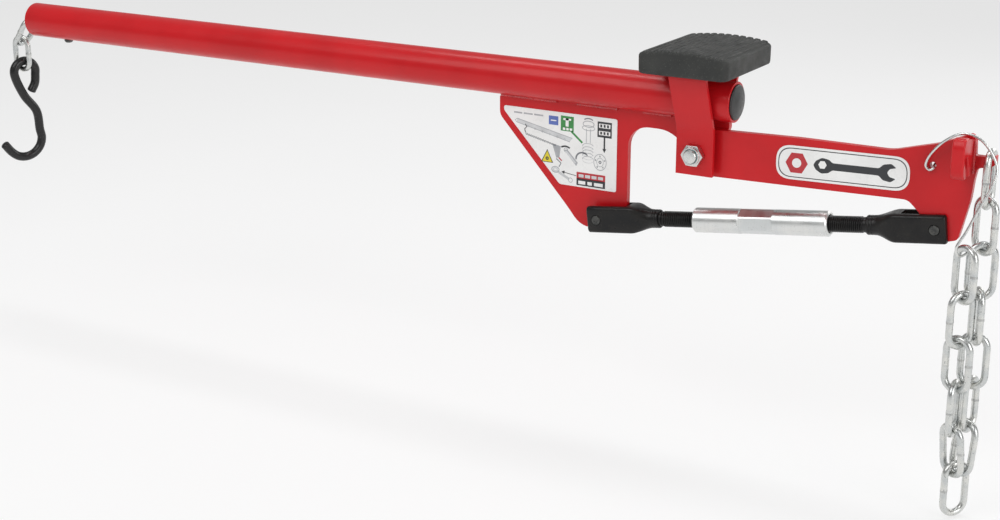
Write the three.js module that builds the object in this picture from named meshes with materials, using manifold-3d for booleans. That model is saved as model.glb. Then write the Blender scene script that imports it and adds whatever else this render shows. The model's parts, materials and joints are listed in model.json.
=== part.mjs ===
// Suspension arm lever: a long tube with a rocking fulcrum pad, a pivoting arm set by a turnbuckle,
// a lifting chain on the arm's claw and an S-hook on a short tether chain.
// Millimetres. +X runs along the tube towards the arm, +Z is up, Y = 0 is the middle plane.
// The origin is the middle of the pad's crown. Heights below start 66 mm above the main pivot.
import * as THREE from 'three';
import { mergeVertices } from 'three/addons/utils/BufferGeometryUtils.js';
import Module from 'manifold-3d';

const wasm = await Module();
wasm.setup();

// ---------- fits ----------
const GAP = 0.3; // between pieces that touch
const LINK_GAP = 0.6; // between the wires of two linked chain links
const HOLE_GAP = 0.3; // round a bolt, pin or screw, on the radius

// ---------- lever tube and its end plug ----------
const TUBE_RADIUS = 24.15;
const TUBE_WALL = 3.6;
const TUBE_AXIS = -3;
const TUBE_LEFT = -1076;
const TUBE_RIGHT = 41;
const PLUG_DOME = 5;
const PLUG_LIP = 0.5; // over the end of the tube's wall
const PLUG_STEM = 16;

// ---------- main pivot ----------
const PIVOT = { x: 0, z: -66 };
const BOLT_RADIUS = 8;
const BOLT_ACROSS_FLATS = 24;
const BOLT_HEAD = 10;
const NUT_HEIGHT = 11;
const BOLT_TIP = 3; // past the nut
const SPACER_RADIUS = 15;

// ---------- plates: the gusset and the arm lie side by side ----------
const PLATE = 8;
const PLATE_SPLIT = 1; // from one plate's face to the other's
const LABEL = 0.3;

// ---------- saddle bracket and fulcrum pad ----------
const CHEEK_OUTSIDE = 22.5;
const CHEEK_BOTTOM = -91;
const CHEEK_BEND = -38;
const SADDLE_PLATE = 5;
const SADDLE_WIDTH = 47;
const SADDLE_TOP = 33;
const SADDLE_TOP_HALF = 52.5;
const PAD_LENGTH = 138;
const PAD_WIDTH = 112;
const PAD_HEIGHT = 30;
const PAD_CROWN = 5; // how far the top falls from the middle to its edges
const RIB_COUNT = 11;
const RIB_PITCH = 9.3;
const RIB_TOP = 5;
const RIB_DEPTH = 1.6;
const PAD_SCREW_OFFSET = 33;
const PAD_SCREW_RADIUS = 3;
const PAD_SCREW_HEAD = { radius: 6.2, height: 3.6 };
const PAD_SCREW_REACH = 14; // into the pad

// ---------- turnbuckle ----------
const REAR_PIN = { x: -131.6, z: -167.2 };
const FRONT_PIN = { x: 288.3, z: -116.3 };
const PIN_RADIUS = 6;
const PIN_PROUD = 0.8;
const FORK_SLOT_HALF = PLATE + PLATE_SPLIT;
const FORK_EAR = 7.5;
const FORK_HALF = FORK_SLOT_HALF + FORK_EAR;
const FORK_SLOT_DEPTH = 40; // from the pin
const FORK_END = 13; // past the pin
const FORK_BODY = 50;
const FORK_TAPER = 22;
const FORK_NECK = 9;
const FORK_CORNER = 4;
const SPINDLE_RADIUS = 9.2; // the thread's pitch radius
const FORK_NECK_WALL = 2;
const FORK_NECK_RADIUS = SPINDLE_RADIUS + HOLE_GAP + FORK_NECK_WALL;
const SPINDLE_SEAT = 26; // inside the fork's neck
const SPINDLE_ENGAGED = 60; // inside the sleeve
const SLEEVE_BORE_GAP = 1.2;
const SLEEVE_WALL = 4.6;
const SLEEVE_RADIUS = SPINDLE_RADIUS + SLEEVE_BORE_GAP + SLEEVE_WALL;
const SLEEVE_LENGTH = 170;
const SLEEVE_START = 127.5; // from the rear pin
const SLEEVE_CHAMFER = 2;
const SLEEVE_FLATS = { start: 60, length: 42, depth: 1.5 };
const COLLAR_RADIUS = 11;

// ---------- chain claw ----------
const CLAW = { left: 308.5, right: 323, near: -46, top: -4, root: -12, bottom: -50 };
const CLAW_SLOT = { y: -35, z: -26.5, room: 0.5, lean: 21 }; // its closed end, and degrees from plumb
const BACKING = { left: 299, right: 322, top: -12, bottom: -58, thickness: 10.2 };
const CLAW_CORNER = 3;

// ---------- keeper wire ----------
const KEEPER_RADIUS = 1.5;
const KEEPER_HOLE = { x: 279.3, z: -44.7, radius: 3.5 };

// ---------- lifting chain ----------
const LINK_WIRE = 8;
const LINK_INSIDE_LENGTH = 53;
const LINK_SIDE_ROOM = 4; // in a link, beside two wires
const LINK_OUTER_LENGTH = LINK_INSIDE_LENGTH + 2 * LINK_WIRE;
const LINK_OUTER_WIDTH = 4 * LINK_WIRE + LINK_SIDE_ROOM;
const CHAIN_TOP = { x: 341, y: -PLATE_SPLIT / 2 - PLATE / 2, z: -23 }; // the first link's top wire
const SECOND_STRAND = { x: -4 - LINK_WIRE, y: 14 - LINK_OUTER_WIDTH }; // from the first strand
const LINK_YAW = { a: [90, 150, 30, 120, 0, 80, 150], b: [150, 50, 170, 90, 150], bottom: 50 };
const STRAND_SPREAD = LINK_WIRE + 2; // between the two wires in the bottom link

// ---------- tether chain and S-hook ----------
const TETHER_WIRE = 8;
const TETHER_OUTER_LENGTH = 56;
const TETHER_OUTER_WIDTH = 34;
const TETHER_LEVEL = -2.5;
const TETHER_TILT = 35; // of the link at the tube's mouth, from plumb
const TETHER_OUT = 8; // the tilted link's top wire, outside the tube's end
const SCREW_RADIUS = 4;
const SCREW_HEAD = { radius: 6.3, height: 4 };
const HOOK_RADIUS = 6.5;
const HOOK_YAW = 70;
const HOOK_EYE = { x: 1.5, z: -17.5, radius: 17 };
const HOOK_BOWL = { x: -8, z: -118.5, radius: 28 };

// ---------- worked-out places ----------
const PAD_BOTTOM = SADDLE_TOP + GAP;
const PAD_TOP = PAD_BOTTOM + PAD_HEIGHT;
const TUBE_UNDERSIDE = TUBE_AXIS - TUBE_RADIUS;
const TUBE_INSIDE = TUBE_RADIUS - TUBE_WALL;
const CHEEK_INSIDE = CHEEK_OUTSIDE - SADDLE_PLATE;
const GUSSET_Y = [PLATE_SPLIT / 2, PLATE_SPLIT / 2 + PLATE];
const ARM_Y = [-PLATE_SPLIT / 2 - PLATE, -PLATE_SPLIT / 2];
const LINK_AXIS = Math.atan2(FRONT_PIN.z - REAR_PIN.z, FRONT_PIN.x - REAR_PIN.x);
const PIN_DISTANCE = Math.hypot(FRONT_PIN.z - REAR_PIN.z, FRONT_PIN.x - REAR_PIN.x);
const FORK_LENGTH = FORK_BODY + FORK_TAPER + FORK_NECK;

// ---------- finishes ----------
const paint = (color, roughness, metalness) => () =>
  new THREE.MeshStandardMaterial({ color, roughness, metalness });
const redPaint = paint(0xc81c22, 0.35, 0.1);
const blackRubber = paint(0x232424, 0.8, 0);
const blackOxide = paint(0x141416, 0.45, 0.5);
const zinc = paint(0xc9ccd0, 0.35, 0.9);
const blackPlastic = paint(0x1b1c1e, 0.5, 0);
const printedFilm = paint(0xf2f2f0, 0.4, 0);

const degrees = THREE.MathUtils.degToRad;

// ---------- solids ----------
function solidOf(geometry) {
  const bare = geometry.index ? geometry : geometry.clone();
  bare.deleteAttribute('normal');
  bare.deleteAttribute('uv');
  const merged = mergeVertices(bare, 1e-4);
  const mesh = new wasm.Mesh({
    numProp: 3,
    vertProperties: new Float32Array(merged.attributes.position.array),
    triVerts: new Uint32Array(merged.index.array),
  });
  return new wasm.Manifold(mesh);
}

function geometryOf(solid) {
  const mesh = solid.getMesh();
  const geometry = new THREE.BufferGeometry();
  geometry.setAttribute('position', new THREE.BufferAttribute(mesh.vertProperties, 3));
  geometry.setIndex(new THREE.BufferAttribute(mesh.triVerts, 1));
  geometry.computeVertexNormals();
  return geometry;
}

function cut(geometry, ...tools) {
  const solid = tools.reduce((left, tool) => left.subtract(solidOf(tool)), solidOf(geometry));
  return geometryOf(solid);
}

function join(...geometries) {
  return geometryOf(geometries.map(solidOf).reduce((all, one) => all.add(one)));
}

// A closed outline from corners [across, up, radius]: each corner is rounded as far as its radius.
function outline(corners) {
  const shape = new THREE.Shape();
  corners.forEach(([x, z, radius = 0], i) => {
    const corner = new THREE.Vector2(x, z);
    const [before, after] = [corners.at(i - 1), corners[(i + 1) % corners.length]].map(
      ([px, pz]) => new THREE.Vector2(px, pz).sub(corner).setLength(radius).add(corner));
    if (i === 0) shape.moveTo(before.x, before.y);
    else shape.lineTo(before.x, before.y);
    if (radius > 0) shape.quadraticCurveTo(x, z, after.x, after.y);
  });
  shape.closePath();
  return shape;
}

// A shape drawn in X and Z, as thick as the span of Y.
function plate(shape, [nearY, farY], curveSegments = 5) {
  const options = { depth: farY - nearY, bevelEnabled: false, curveSegments };
  const geometry = new THREE.ExtrudeGeometry(shape, options);
  return geometry.rotateX(Math.PI / 2).translate(0, farY, 0);
}

// A shape drawn in Y and Z, as long as the span of X.
function bar(shape, [leftX, rightX], curveSegments = 5) {
  const options = { depth: rightX - leftX, bevelEnabled: false, curveSegments };
  const geometry = new THREE.ExtrudeGeometry(shape, options);
  return geometry.rotateX(Math.PI / 2).rotateZ(Math.PI / 2).translate(leftX, 0, 0);
}

// A turned shape about the Y axis at (x, z). The profile is [radius, y].
function turnedY(profile, { x, z }, sides = 24) {
  const points = profile.map(([radius, y]) => new THREE.Vector2(radius, y));
  return new THREE.LatheGeometry(points, sides).translate(x, 0, z);
}

// A turned shape about the X axis. The profile is [radius, x].
function turnedX(profile, sides = 32) {
  const points = profile.map(([radius, x]) => new THREE.Vector2(radius, x));
  return new THREE.LatheGeometry(points, sides).rotateZ(-Math.PI / 2);
}

const rodProfile = (radius, from, to, chamfer = 0) => [
  [0, from], [radius - chamfer, from], ...(chamfer ? [[radius, from + chamfer]] : []),
  ...(chamfer ? [[radius, to - chamfer]] : []), [radius - chamfer, to], [0, to],
];
const rodY = (radius, place, [from, to], chamfer) => turnedY(rodProfile(radius, from, to, chamfer), place);
const rodX = (radius, [from, to], chamfer) => turnedX(rodProfile(radius, from, to, chamfer));
const rodZ = (radius, x, y, [from, to], sides = 20) =>
  new THREE.CylinderGeometry(radius, radius, to - from, sides)
    .rotateX(Math.PI / 2).translate(x, y, (from + to) / 2);

function ringY(outer, inner, place, [from, to]) {
  return turnedY([[inner, from], [outer, from], [outer, to], [inner, to], [inner, from]], place);
}

function hexagonY(acrossFlats, place, [from, to]) {
  const corner = acrossFlats / Math.sqrt(3);
  const prism = new THREE.CylinderGeometry(corner, corner, to - from, 6);
  return prism.rotateY(Math.PI / 2).translate(place.x, (from + to) / 2, place.z);
}

function block([x0, x1], [y0, y1], [z0, z1]) {
  return new THREE.BoxGeometry(x1 - x0, y1 - y0, z1 - z0)
    .translate((x0 + x1) / 2, (y0 + y1) / 2, (z0 + z1) / 2);
}

function wire(points, radius, sides, steps) {
  const section = new THREE.Shape();
  for (let i = 0; i < sides; i += 1) {
    const turn = (i / sides) * 2 * Math.PI;
    const [x, y] = [radius * Math.cos(turn), radius * Math.sin(turn)];
    if (i === 0) section.moveTo(x, y);
    else section.lineTo(x, y);
  }
  const extrudePath = new THREE.CatmullRomCurve3(points, false, 'centripetal');
  return new THREE.ExtrudeGeometry(section, { extrudePath, steps, curveSegments: 1 });
}

// ---------- scene graph ----------
const lever = new THREE.Group();
lever.name = 'suspension_arm_lever';
lever.position.z = -PAD_TOP;

function add(parent, name, geometry, finish) {
  const mesh = new THREE.Mesh(geometry, finish());
  mesh.name = name;
  parent.add(mesh);
  return mesh;
}

const hole = (radius, place, span = [-60, 60]) => rodY(radius + HOLE_GAP, place, span);
const boltHole = () => hole(BOLT_RADIUS, PIVOT);

// ---------- lever: tube, gusset, plug, pivot bolt ----------
const SCREW_X = TUBE_LEFT - TETHER_OUT + tetherReach();

function tetherReach() {
  // two level links and the screw, from the tilted link's top wire to the screw's axis
  const centres = TETHER_OUTER_LENGTH - TETHER_WIRE;
  const slack = TETHER_WIRE + LINK_GAP;
  return 2 * (centres - slack) - SCREW_RADIUS - TETHER_WIRE / 2 - LINK_GAP;
}

function leverTube() {
  const ring = turnedX([
    [TUBE_INSIDE, TUBE_LEFT], [TUBE_RADIUS, TUBE_LEFT], [TUBE_RADIUS, TUBE_RIGHT],
    [TUBE_INSIDE, TUBE_RIGHT], [TUBE_INSIDE, TUBE_LEFT],
  ], 40);
  return cut(ring.translate(0, 0, TUBE_AXIS),
    rodZ(SCREW_RADIUS + HOLE_GAP, SCREW_X, 0, [TUBE_UNDERSIDE - 5, TUBE_AXIS]));
}

function tubePlug() {
  const face = TUBE_RIGHT + GAP;
  const flange = TUBE_INSIDE + PLUG_LIP;
  return turnedX([
    [0, face - PLUG_STEM], [TUBE_INSIDE - 1.3, face - PLUG_STEM], [TUBE_INSIDE - GAP, face - PLUG_STEM + 3],
    [TUBE_INSIDE - GAP, face], [flange, face], [flange, face + PLUG_DOME * 0.3],
    [flange * 0.82, face + PLUG_DOME * 0.75], [flange * 0.45, face + PLUG_DOME * 0.95], [0, face + PLUG_DOME],
  ]).translate(0, 0, TUBE_AXIS);
}

function gussetPlate() {
  const top = TUBE_UNDERSIDE - GAP;
  const heel = REAR_PIN.z - 15.8;
  const shape = outline([
    [33, top], [-270, top], [-279, top - 2.5, 2], [-279, -54, 6], [-181, -160, 14], [-162, heel, 14],
    [-98, heel, 8], [-98, -60, 14], [-80, -46.5, 10], [-46, -46.5, 12], [-22, PIVOT.z + 4, 8],
    [-20, PIVOT.z - 22, 8], [20, PIVOT.z - 22, 8], [22, PIVOT.z + 8, 6], [33, -36, 3],
  ]);
  return cut(plate(shape, GUSSET_Y), boltHole(), hole(PIN_RADIUS, REAR_PIN));
}

add(lever, 'lever_tube', leverTube(), redPaint);
add(lever, 'gusset_plate', gussetPlate(), redPaint);
add(lever, 'tube_plug', tubePlug(), blackPlastic);

const cheekFace = CHEEK_OUTSIDE + GAP;
add(lever, 'pivot_bolt', join(
  hexagonY(BOLT_ACROSS_FLATS, PIVOT, [cheekFace, cheekFace + BOLT_HEAD]),
  rodY(BOLT_RADIUS, PIVOT, [-cheekFace - NUT_HEIGHT - BOLT_TIP, cheekFace + 1], 1),
), zinc);
add(lever, 'pivot_nut', cut(
  hexagonY(BOLT_ACROSS_FLATS, PIVOT, [-cheekFace - NUT_HEIGHT, -cheekFace]), boltHole()), zinc);
const spacerSpans = {
  near: [-CHEEK_INSIDE + GAP, ARM_Y[0] - GAP],
  far: [GUSSET_Y[1] + GAP, CHEEK_INSIDE - GAP],
};
for (const [side, span] of Object.entries(spacerSpans)) {
  add(lever, `pivot_spacer_${side}`, ringY(SPACER_RADIUS, BOLT_RADIUS + HOLE_GAP, PIVOT, span), zinc);
}

const labelSpan = (face) => [face - GAP - LABEL, face - GAP];
add(lever, 'instruction_label', plate(outline([
  [-272.5, -41.5, 3], [-272.5, -47.5, 3], [-192, -133, 3], [-113, -133, 3], [-113, -41.5, 3],
]), labelSpan(GUSSET_Y[0]), 2), printedFilm);

// ---------- saddle: bracket, pad, screws ----------
function saddleBracket() {
  const flare = Math.atan2(SADDLE_TOP_HALF - CHEEK_OUTSIDE, SADDLE_TOP - CHEEK_BEND);
  const insideTop = SADDLE_TOP - SADDLE_PLATE;
  const insideBend = CHEEK_BEND + SADDLE_PLATE * Math.tan(flare / 2);
  const insideHalf = CHEEK_INSIDE + (insideTop - insideBend) * Math.tan(flare);
  const half = [
    [CHEEK_INSIDE, CHEEK_BOTTOM], [CHEEK_OUTSIDE, CHEEK_BOTTOM], [CHEEK_OUTSIDE, CHEEK_BEND, 6],
    [SADDLE_TOP_HALF, SADDLE_TOP, 8], [insideHalf, insideTop, 4], [CHEEK_INSIDE, insideBend, 5],
  ];
  const [lower, outer] = [half.slice(0, 1), half.slice(1, 4)];
  const mirrored = (points) => points.map(([y, z, radius]) => [-y, z, radius]).reverse();
  const inner = half.slice(4);
  const shape = outline([
    ...lower, ...outer, ...mirrored(outer), ...mirrored(lower),
    ...mirrored(inner), ...inner,
  ]);
  const strap = bar(shape, [-SADDLE_WIDTH / 2, SADDLE_WIDTH / 2]);
  const screwHoles = [-1, 1].map((side) =>
    rodZ(PAD_SCREW_RADIUS + HOLE_GAP, 0, side * PAD_SCREW_OFFSET, [insideTop - 5, SADDLE_TOP + 5]));
  return cut(strap, boltHole(), ...screwHoles);
}

function fulcrumPad() {
  const crown = (x) => PAD_TOP - PAD_CROWN * (2 * x / PAD_WIDTH) ** 2;
  const ribs = [];
  for (let i = 0; i < RIB_COUNT; i += 1) {
    const middle = (i - (RIB_COUNT - 1) / 2) * RIB_PITCH;
    const height = crown(middle);
    ribs.push([middle - RIB_TOP / 2 - 0.7, height - RIB_DEPTH], [middle - RIB_TOP / 2, height],
      [middle + RIB_TOP / 2, height], [middle + RIB_TOP / 2 + 0.7, height - RIB_DEPTH]);
  }
  const edge = PAD_WIDTH / 2;
  const shape = outline([
    [-edge + 2, PAD_BOTTOM], [-edge, PAD_BOTTOM + 4], [-edge + 1, crown(edge) - 1.5],
    ...ribs,
    [edge - 1, crown(edge) - 1.5], [edge, PAD_BOTTOM + 4], [edge - 2, PAD_BOTTOM],
  ].reverse());
  const body = plate(shape, [-PAD_LENGTH / 2, PAD_LENGTH / 2]);
  const screwHoles = [-1, 1].map((side) => rodZ(PAD_SCREW_RADIUS + HOLE_GAP, 0, side * PAD_SCREW_OFFSET,
    [PAD_BOTTOM - 5, PAD_BOTTOM + PAD_SCREW_REACH + GAP]));
  return cut(body, ...screwHoles);
}

function padScrew(side) {
  const seat = SADDLE_TOP - SADDLE_PLATE - GAP;
  const y = side * PAD_SCREW_OFFSET;
  return join(
    rodZ(PAD_SCREW_HEAD.radius, 0, y, [seat - PAD_SCREW_HEAD.height, seat]),
    rodZ(PAD_SCREW_RADIUS, 0, y, [seat - 1, PAD_BOTTOM + PAD_SCREW_REACH]),
  );
}

add(lever, 'saddle_bracket', saddleBracket(), redPaint);
add(lever, 'fulcrum_pad', fulcrumPad(), blackRubber);
add(lever, 'pad_screw_near', padScrew(-1), zinc);
add(lever, 'pad_screw_far', padScrew(1), zinc);

// ---------- arm: plate, claw, label ----------
function armPlate() {
  const foot = FRONT_PIN.z - 15.8;
  const bow = (LINK_OUTER_WIDTH - LINK_WIRE) / 2;
  const restDepth = bow - Math.sqrt((bow - LINK_WIRE / 2) ** 2 - (PLATE / 2) ** 2);
  const finger = CHAIN_TOP.z - restDepth - LINK_GAP;
  const shape = outline([
    [-20, PIVOT.z + 29, 5], [26, PIVOT.z + 29.4], [123, -34], [232, -34, 8], [284, -20, 6], [319, -5, 3],
    [324, -10, 3], [325, finger, 2], [344, finger, 2], [345.5, finger + 2.5, 1],
    [347.5, finger + 2, 1], [347, finger - 9, 4],
    [328, finger - 14, 4], [325.5, -57, 3], [323.5, -79, 5], [313, -126, 4], [293, foot, 4],
    [270, foot, 8], [271, -104, 6], [254, -88, 6], [126, -91], [21, -93], [-20, PIVOT.z - 27, 5],
  ].reverse());
  return cut(plate(shape, ARM_Y), boltHole(), hole(PIN_RADIUS, FRONT_PIN),
    rodY(KEEPER_HOLE.radius, KEEPER_HOLE, [-20, 20]));
}

// A thick plate square to the arm, with a leaning slot that a link of the chain drops into.
function chainClaw() {
  const { left, right, near, top, root, bottom } = CLAW;
  const foot = ARM_Y[0] - GAP;
  const shape = outline([
    [foot, root], [near + 14, top, 6], [near + 4, top - 1, CLAW_CORNER], [near, top - 9, 4],
    [near + 1, bottom + 7, 4], [near + 6, bottom, CLAW_CORNER], [foot, bottom],
  ]);
  const reach = CLAW_SLOT.z - bottom + 20;
  const half = LINK_WIRE / 2 + CLAW_SLOT.room;
  const slot = block([left - 5, right + 5], [-half, half], [-reach, 0])
    .rotateX(degrees(CLAW_SLOT.lean)).translate(0, CLAW_SLOT.y, CLAW_SLOT.z);
  return cut(bar(shape, [left, right]), slot);
}

function clawBacking() {
  const { left, right, top, bottom, thickness } = BACKING;
  const shape = outline([
    [left, top - 6, CLAW_CORNER], [left, bottom + 8, CLAW_CORNER], [left + 7, bottom, CLAW_CORNER],
    [right - 5, bottom + 2, CLAW_CORNER], [right, bottom + 18, CLAW_CORNER],
    [right, top - 12, CLAW_CORNER], [left + 14, top, CLAW_CORNER],
  ]);
  return plate(shape, [ARM_Y[1] + GAP, ARM_Y[1] + GAP + thickness]);
}

add(lever, 'arm_plate', armPlate(), redPaint);
add(lever, 'chain_claw', chainClaw(), redPaint);
add(lever, 'claw_backing', clawBacking(), redPaint);
add(lever, 'arm_label', plate(outline([
  [97, -83.5, 18], [255, -79, 18], [254, -40, 18], [97, -43.5, 18],
].reverse()), labelSpan(ARM_Y[0]), 4), printedFilm);

// ---------- turnbuckle, along its own axis from the rear pin ----------
const linkage = new THREE.Group();
linkage.position.set(REAR_PIN.x, 0, REAR_PIN.z);
linkage.rotation.y = -LINK_AXIS;
lever.add(linkage);

// A fork with its pin at the origin, pointing along +X, bored for its threaded spindle.
function fork() {
  const corner = FORK_CORNER;
  const h = FORK_HALF;
  const section = outline([[-h, -h, corner], [h, -h, corner], [h, h, corner], [-h, h, corner]]);
  const sides = plate(outline([
    [-FORK_END, -h, 5], [FORK_BODY, -h], [FORK_BODY + FORK_TAPER, -FORK_NECK_RADIUS],
    [FORK_LENGTH, -FORK_NECK_RADIUS], [FORK_LENGTH, FORK_NECK_RADIUS],
    [FORK_BODY + FORK_TAPER, FORK_NECK_RADIUS], [FORK_BODY, h], [-FORK_END, h, 5],
  ]), [-h, h]);
  const width = turnedX([
    [0, -FORK_END], [h * 1.36, -FORK_END], [h * 1.36, FORK_BODY], [FORK_NECK_RADIUS, FORK_BODY + FORK_TAPER],
    [FORK_NECK_RADIUS, FORK_LENGTH], [0, FORK_LENGTH],
  ], 24);
  const solid = solidOf(bar(section, [-FORK_END - 1, FORK_LENGTH + 1]))
    .intersect(solidOf(sides)).intersect(solidOf(width));
  const slot = block([-FORK_END - 5, FORK_SLOT_DEPTH], [-FORK_SLOT_HALF, FORK_SLOT_HALF], [-h - 5, h + 5]);
  const bore = rodX(SPINDLE_RADIUS + HOLE_GAP, [FORK_LENGTH - SPINDLE_SEAT, FORK_LENGTH + 5]);
  return cut(geometryOf(solid), slot, bore, hole(PIN_RADIUS, { x: 0, z: 0 }));
}

function sleeve() {
  const [start, end] = [SLEEVE_START, SLEEVE_START + SLEEVE_LENGTH];
  const { start: flatsFrom, length, depth } = SLEEVE_FLATS;
  const corner = (SLEEVE_RADIUS - depth) / Math.cos(Math.PI / 6);
  const flats = [start + flatsFrom, start + flatsFrom + length];
  const outside = solidOf(rodX(SLEEVE_RADIUS, [start, end], SLEEVE_CHAMFER));
  const hexagon = new THREE.CylinderGeometry(corner, corner, length, 6)
    .rotateZ(Math.PI / 2).translate((flats[0] + flats[1]) / 2, 0, 0);
  const ends = outside.subtract(solidOf(block(flats, [-30, 30], [-30, 30])));
  const middle = outside.intersect(solidOf(hexagon));
  const bore = solidOf(rodX(SPINDLE_RADIUS + SLEEVE_BORE_GAP, [start - 5, end + 5]));
  return geometryOf(ends.add(middle).subtract(bore));
}

const spindleSpan = [FORK_LENGTH - SPINDLE_SEAT + GAP, SLEEVE_START + SPINDLE_ENGAGED];
const frontSpindleSpan = [
  FORK_LENGTH - SPINDLE_SEAT + GAP, PIN_DISTANCE - SLEEVE_START - SLEEVE_LENGTH + SPINDLE_ENGAGED];
const towardsRear = new THREE.Group();
towardsRear.position.x = PIN_DISTANCE;
towardsRear.rotation.z = Math.PI;
linkage.add(towardsRear);
add(linkage, 'rear_fork', fork(), blackOxide);
add(linkage, 'rear_spindle', rodX(SPINDLE_RADIUS, spindleSpan, 1), blackOxide);
add(linkage, 'turnbuckle_sleeve', sleeve(), zinc);
add(towardsRear, 'front_fork', fork(), blackOxide);
add(towardsRear, 'front_spindle', rodX(SPINDLE_RADIUS, frontSpindleSpan, 1), blackOxide);

const pinSpan = [-FORK_HALF - PIN_PROUD, FORK_HALF + PIN_PROUD];
const slotSpan = [-FORK_SLOT_HALF + GAP, FORK_SLOT_HALF - GAP];
add(lever, 'rear_pin', rodY(PIN_RADIUS, REAR_PIN, pinSpan, 0.6), blackOxide);
add(lever, 'front_pin', rodY(PIN_RADIUS, FRONT_PIN, pinSpan, 0.6), blackOxide);
add(lever, 'rear_pin_collar',
  ringY(COLLAR_RADIUS, PIN_RADIUS + HOLE_GAP, REAR_PIN, [slotSpan[0], GUSSET_Y[0] - GAP]), zinc);
add(lever, 'front_pin_collar',
  ringY(COLLAR_RADIUS, PIN_RADIUS + HOLE_GAP, FRONT_PIN, [ARM_Y[1] + GAP, slotSpan[1]]), zinc);

// ---------- chain links ----------
// A link's centre line: two straight sides and two half-round bows, with the top wire at the origin.
class LinkLine extends THREE.Curve {
  constructor(length, width) {
    super();
    const bow = width / 2;
    this.points = [];
    for (let i = 0; i <= LinkLine.BOW_STEPS; i += 1) {
      const turn = (i / LinkLine.BOW_STEPS) * Math.PI;
      this.points.push(new THREE.Vector3(bow * Math.cos(turn), 0, bow * Math.sin(turn) - bow));
    }
    const lower = this.points.map((p) => new THREE.Vector3(-p.x, 0, -length - p.z));
    this.points.push(...lower);
  }

  getPoint(t) {
    const count = this.points.length;
    const place = (((t % 1) + 1) % 1) * count;
    const i = Math.floor(place + 1e-9) % count;
    return this.points[i].clone().lerp(this.points[(i + 1) % count], Math.max(place - i, 0) % 1);
  }

  getPointAt(u) {
    return this.getPoint(u);
  }

  getTangentAt(u) {
    const count = this.points.length;
    const i = Math.round(u * count) % count;
    return this.points[(i + 1) % count].clone().sub(this.points[(i + count - 1) % count]).normalize();
  }
}
LinkLine.BOW_STEPS = 6;

function linkGeometry(wireSize, outerLength, outerWidth) {
  const line = new LinkLine(outerLength - wireSize, outerWidth - wireSize);
  const tube = new THREE.TubeGeometry(line, line.points.length, wireSize / 2, 8, true);
  return geometryOf(solidOf(tube));
}

const LINK_CENTRES = LINK_OUTER_LENGTH - LINK_WIRE;
const LINK_STEP = LINK_CENTRES - LINK_WIRE - LINK_GAP;
const upright = new THREE.Vector3(0, 0, 1);

// A link from its top wire at `top` to its lower wire at `bottom`, turned by `yaw` about its length.
function hangLink(name, yaw, top, bottom) {
  const link = add(lever, name, linkGeometry(LINK_WIRE, LINK_OUTER_LENGTH, LINK_OUTER_WIDTH), zinc);
  const up = top.clone().sub(bottom).normalize();
  link.quaternion.setFromUnitVectors(upright, up);
  link.quaternion.multiply(new THREE.Quaternion().setFromAxisAngle(upright, degrees(yaw)));
  link.position.copy(top);
}

function hangChain() {
  const down = (from, drop) => from.clone().add(new THREE.Vector3(0, 0, -drop));
  const first = new THREE.Vector3(CHAIN_TOP.x, CHAIN_TOP.y, CHAIN_TOP.z);
  const { a, b, bottom } = LINK_YAW;
  const second = down(first, (a.length - b.length) * LINK_STEP);
  second.add(new THREE.Vector3(SECOND_STRAND.x, SECOND_STRAND.y, 0));
  const strands = [['a', a, first], ['b', b, second]];
  const middle = first.clone().add(new THREE.Vector3(SECOND_STRAND.x / 2, SECOND_STRAND.y / 2, 0));
  const spread = new THREE.Vector3(Math.cos(degrees(bottom)), Math.sin(degrees(bottom)), 0)
    .multiplyScalar(STRAND_SPREAD / 2);
  let lowest = 0;
  for (const [letter, yaws, top] of strands) {
    yaws.forEach((yaw, i) => {
      const from = down(top, i * LINK_STEP);
      const to = down(from, LINK_CENTRES);
      if (i === yaws.length - 1) {
        const side = letter === 'a' ? 1 : -1;
        const lean = Math.hypot(middle.x + side * spread.x - from.x, middle.y + side * spread.y - from.y);
        to.set(middle.x + side * spread.x, middle.y + side * spread.y,
          from.z - Math.sqrt(LINK_CENTRES ** 2 - lean ** 2));
        lowest = to.z;
      }
      hangLink(`chain_link_${letter}${i + 1}`, yaw, from, to);
    });
  }
  const bow = (LINK_OUTER_WIDTH - LINK_WIRE) / 2;
  const reach = bow - LINK_WIRE - LINK_GAP; // from the bow's centre to a wire lying in it
  const rise = bow - Math.sqrt(reach ** 2 - (STRAND_SPREAD / 2) ** 2);
  const bottomTop = new THREE.Vector3(middle.x, middle.y, lowest + rise);
  hangLink('chain_link_bottom', bottom, bottomTop, down(bottomTop, LINK_CENTRES));
}
hangChain();

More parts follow.
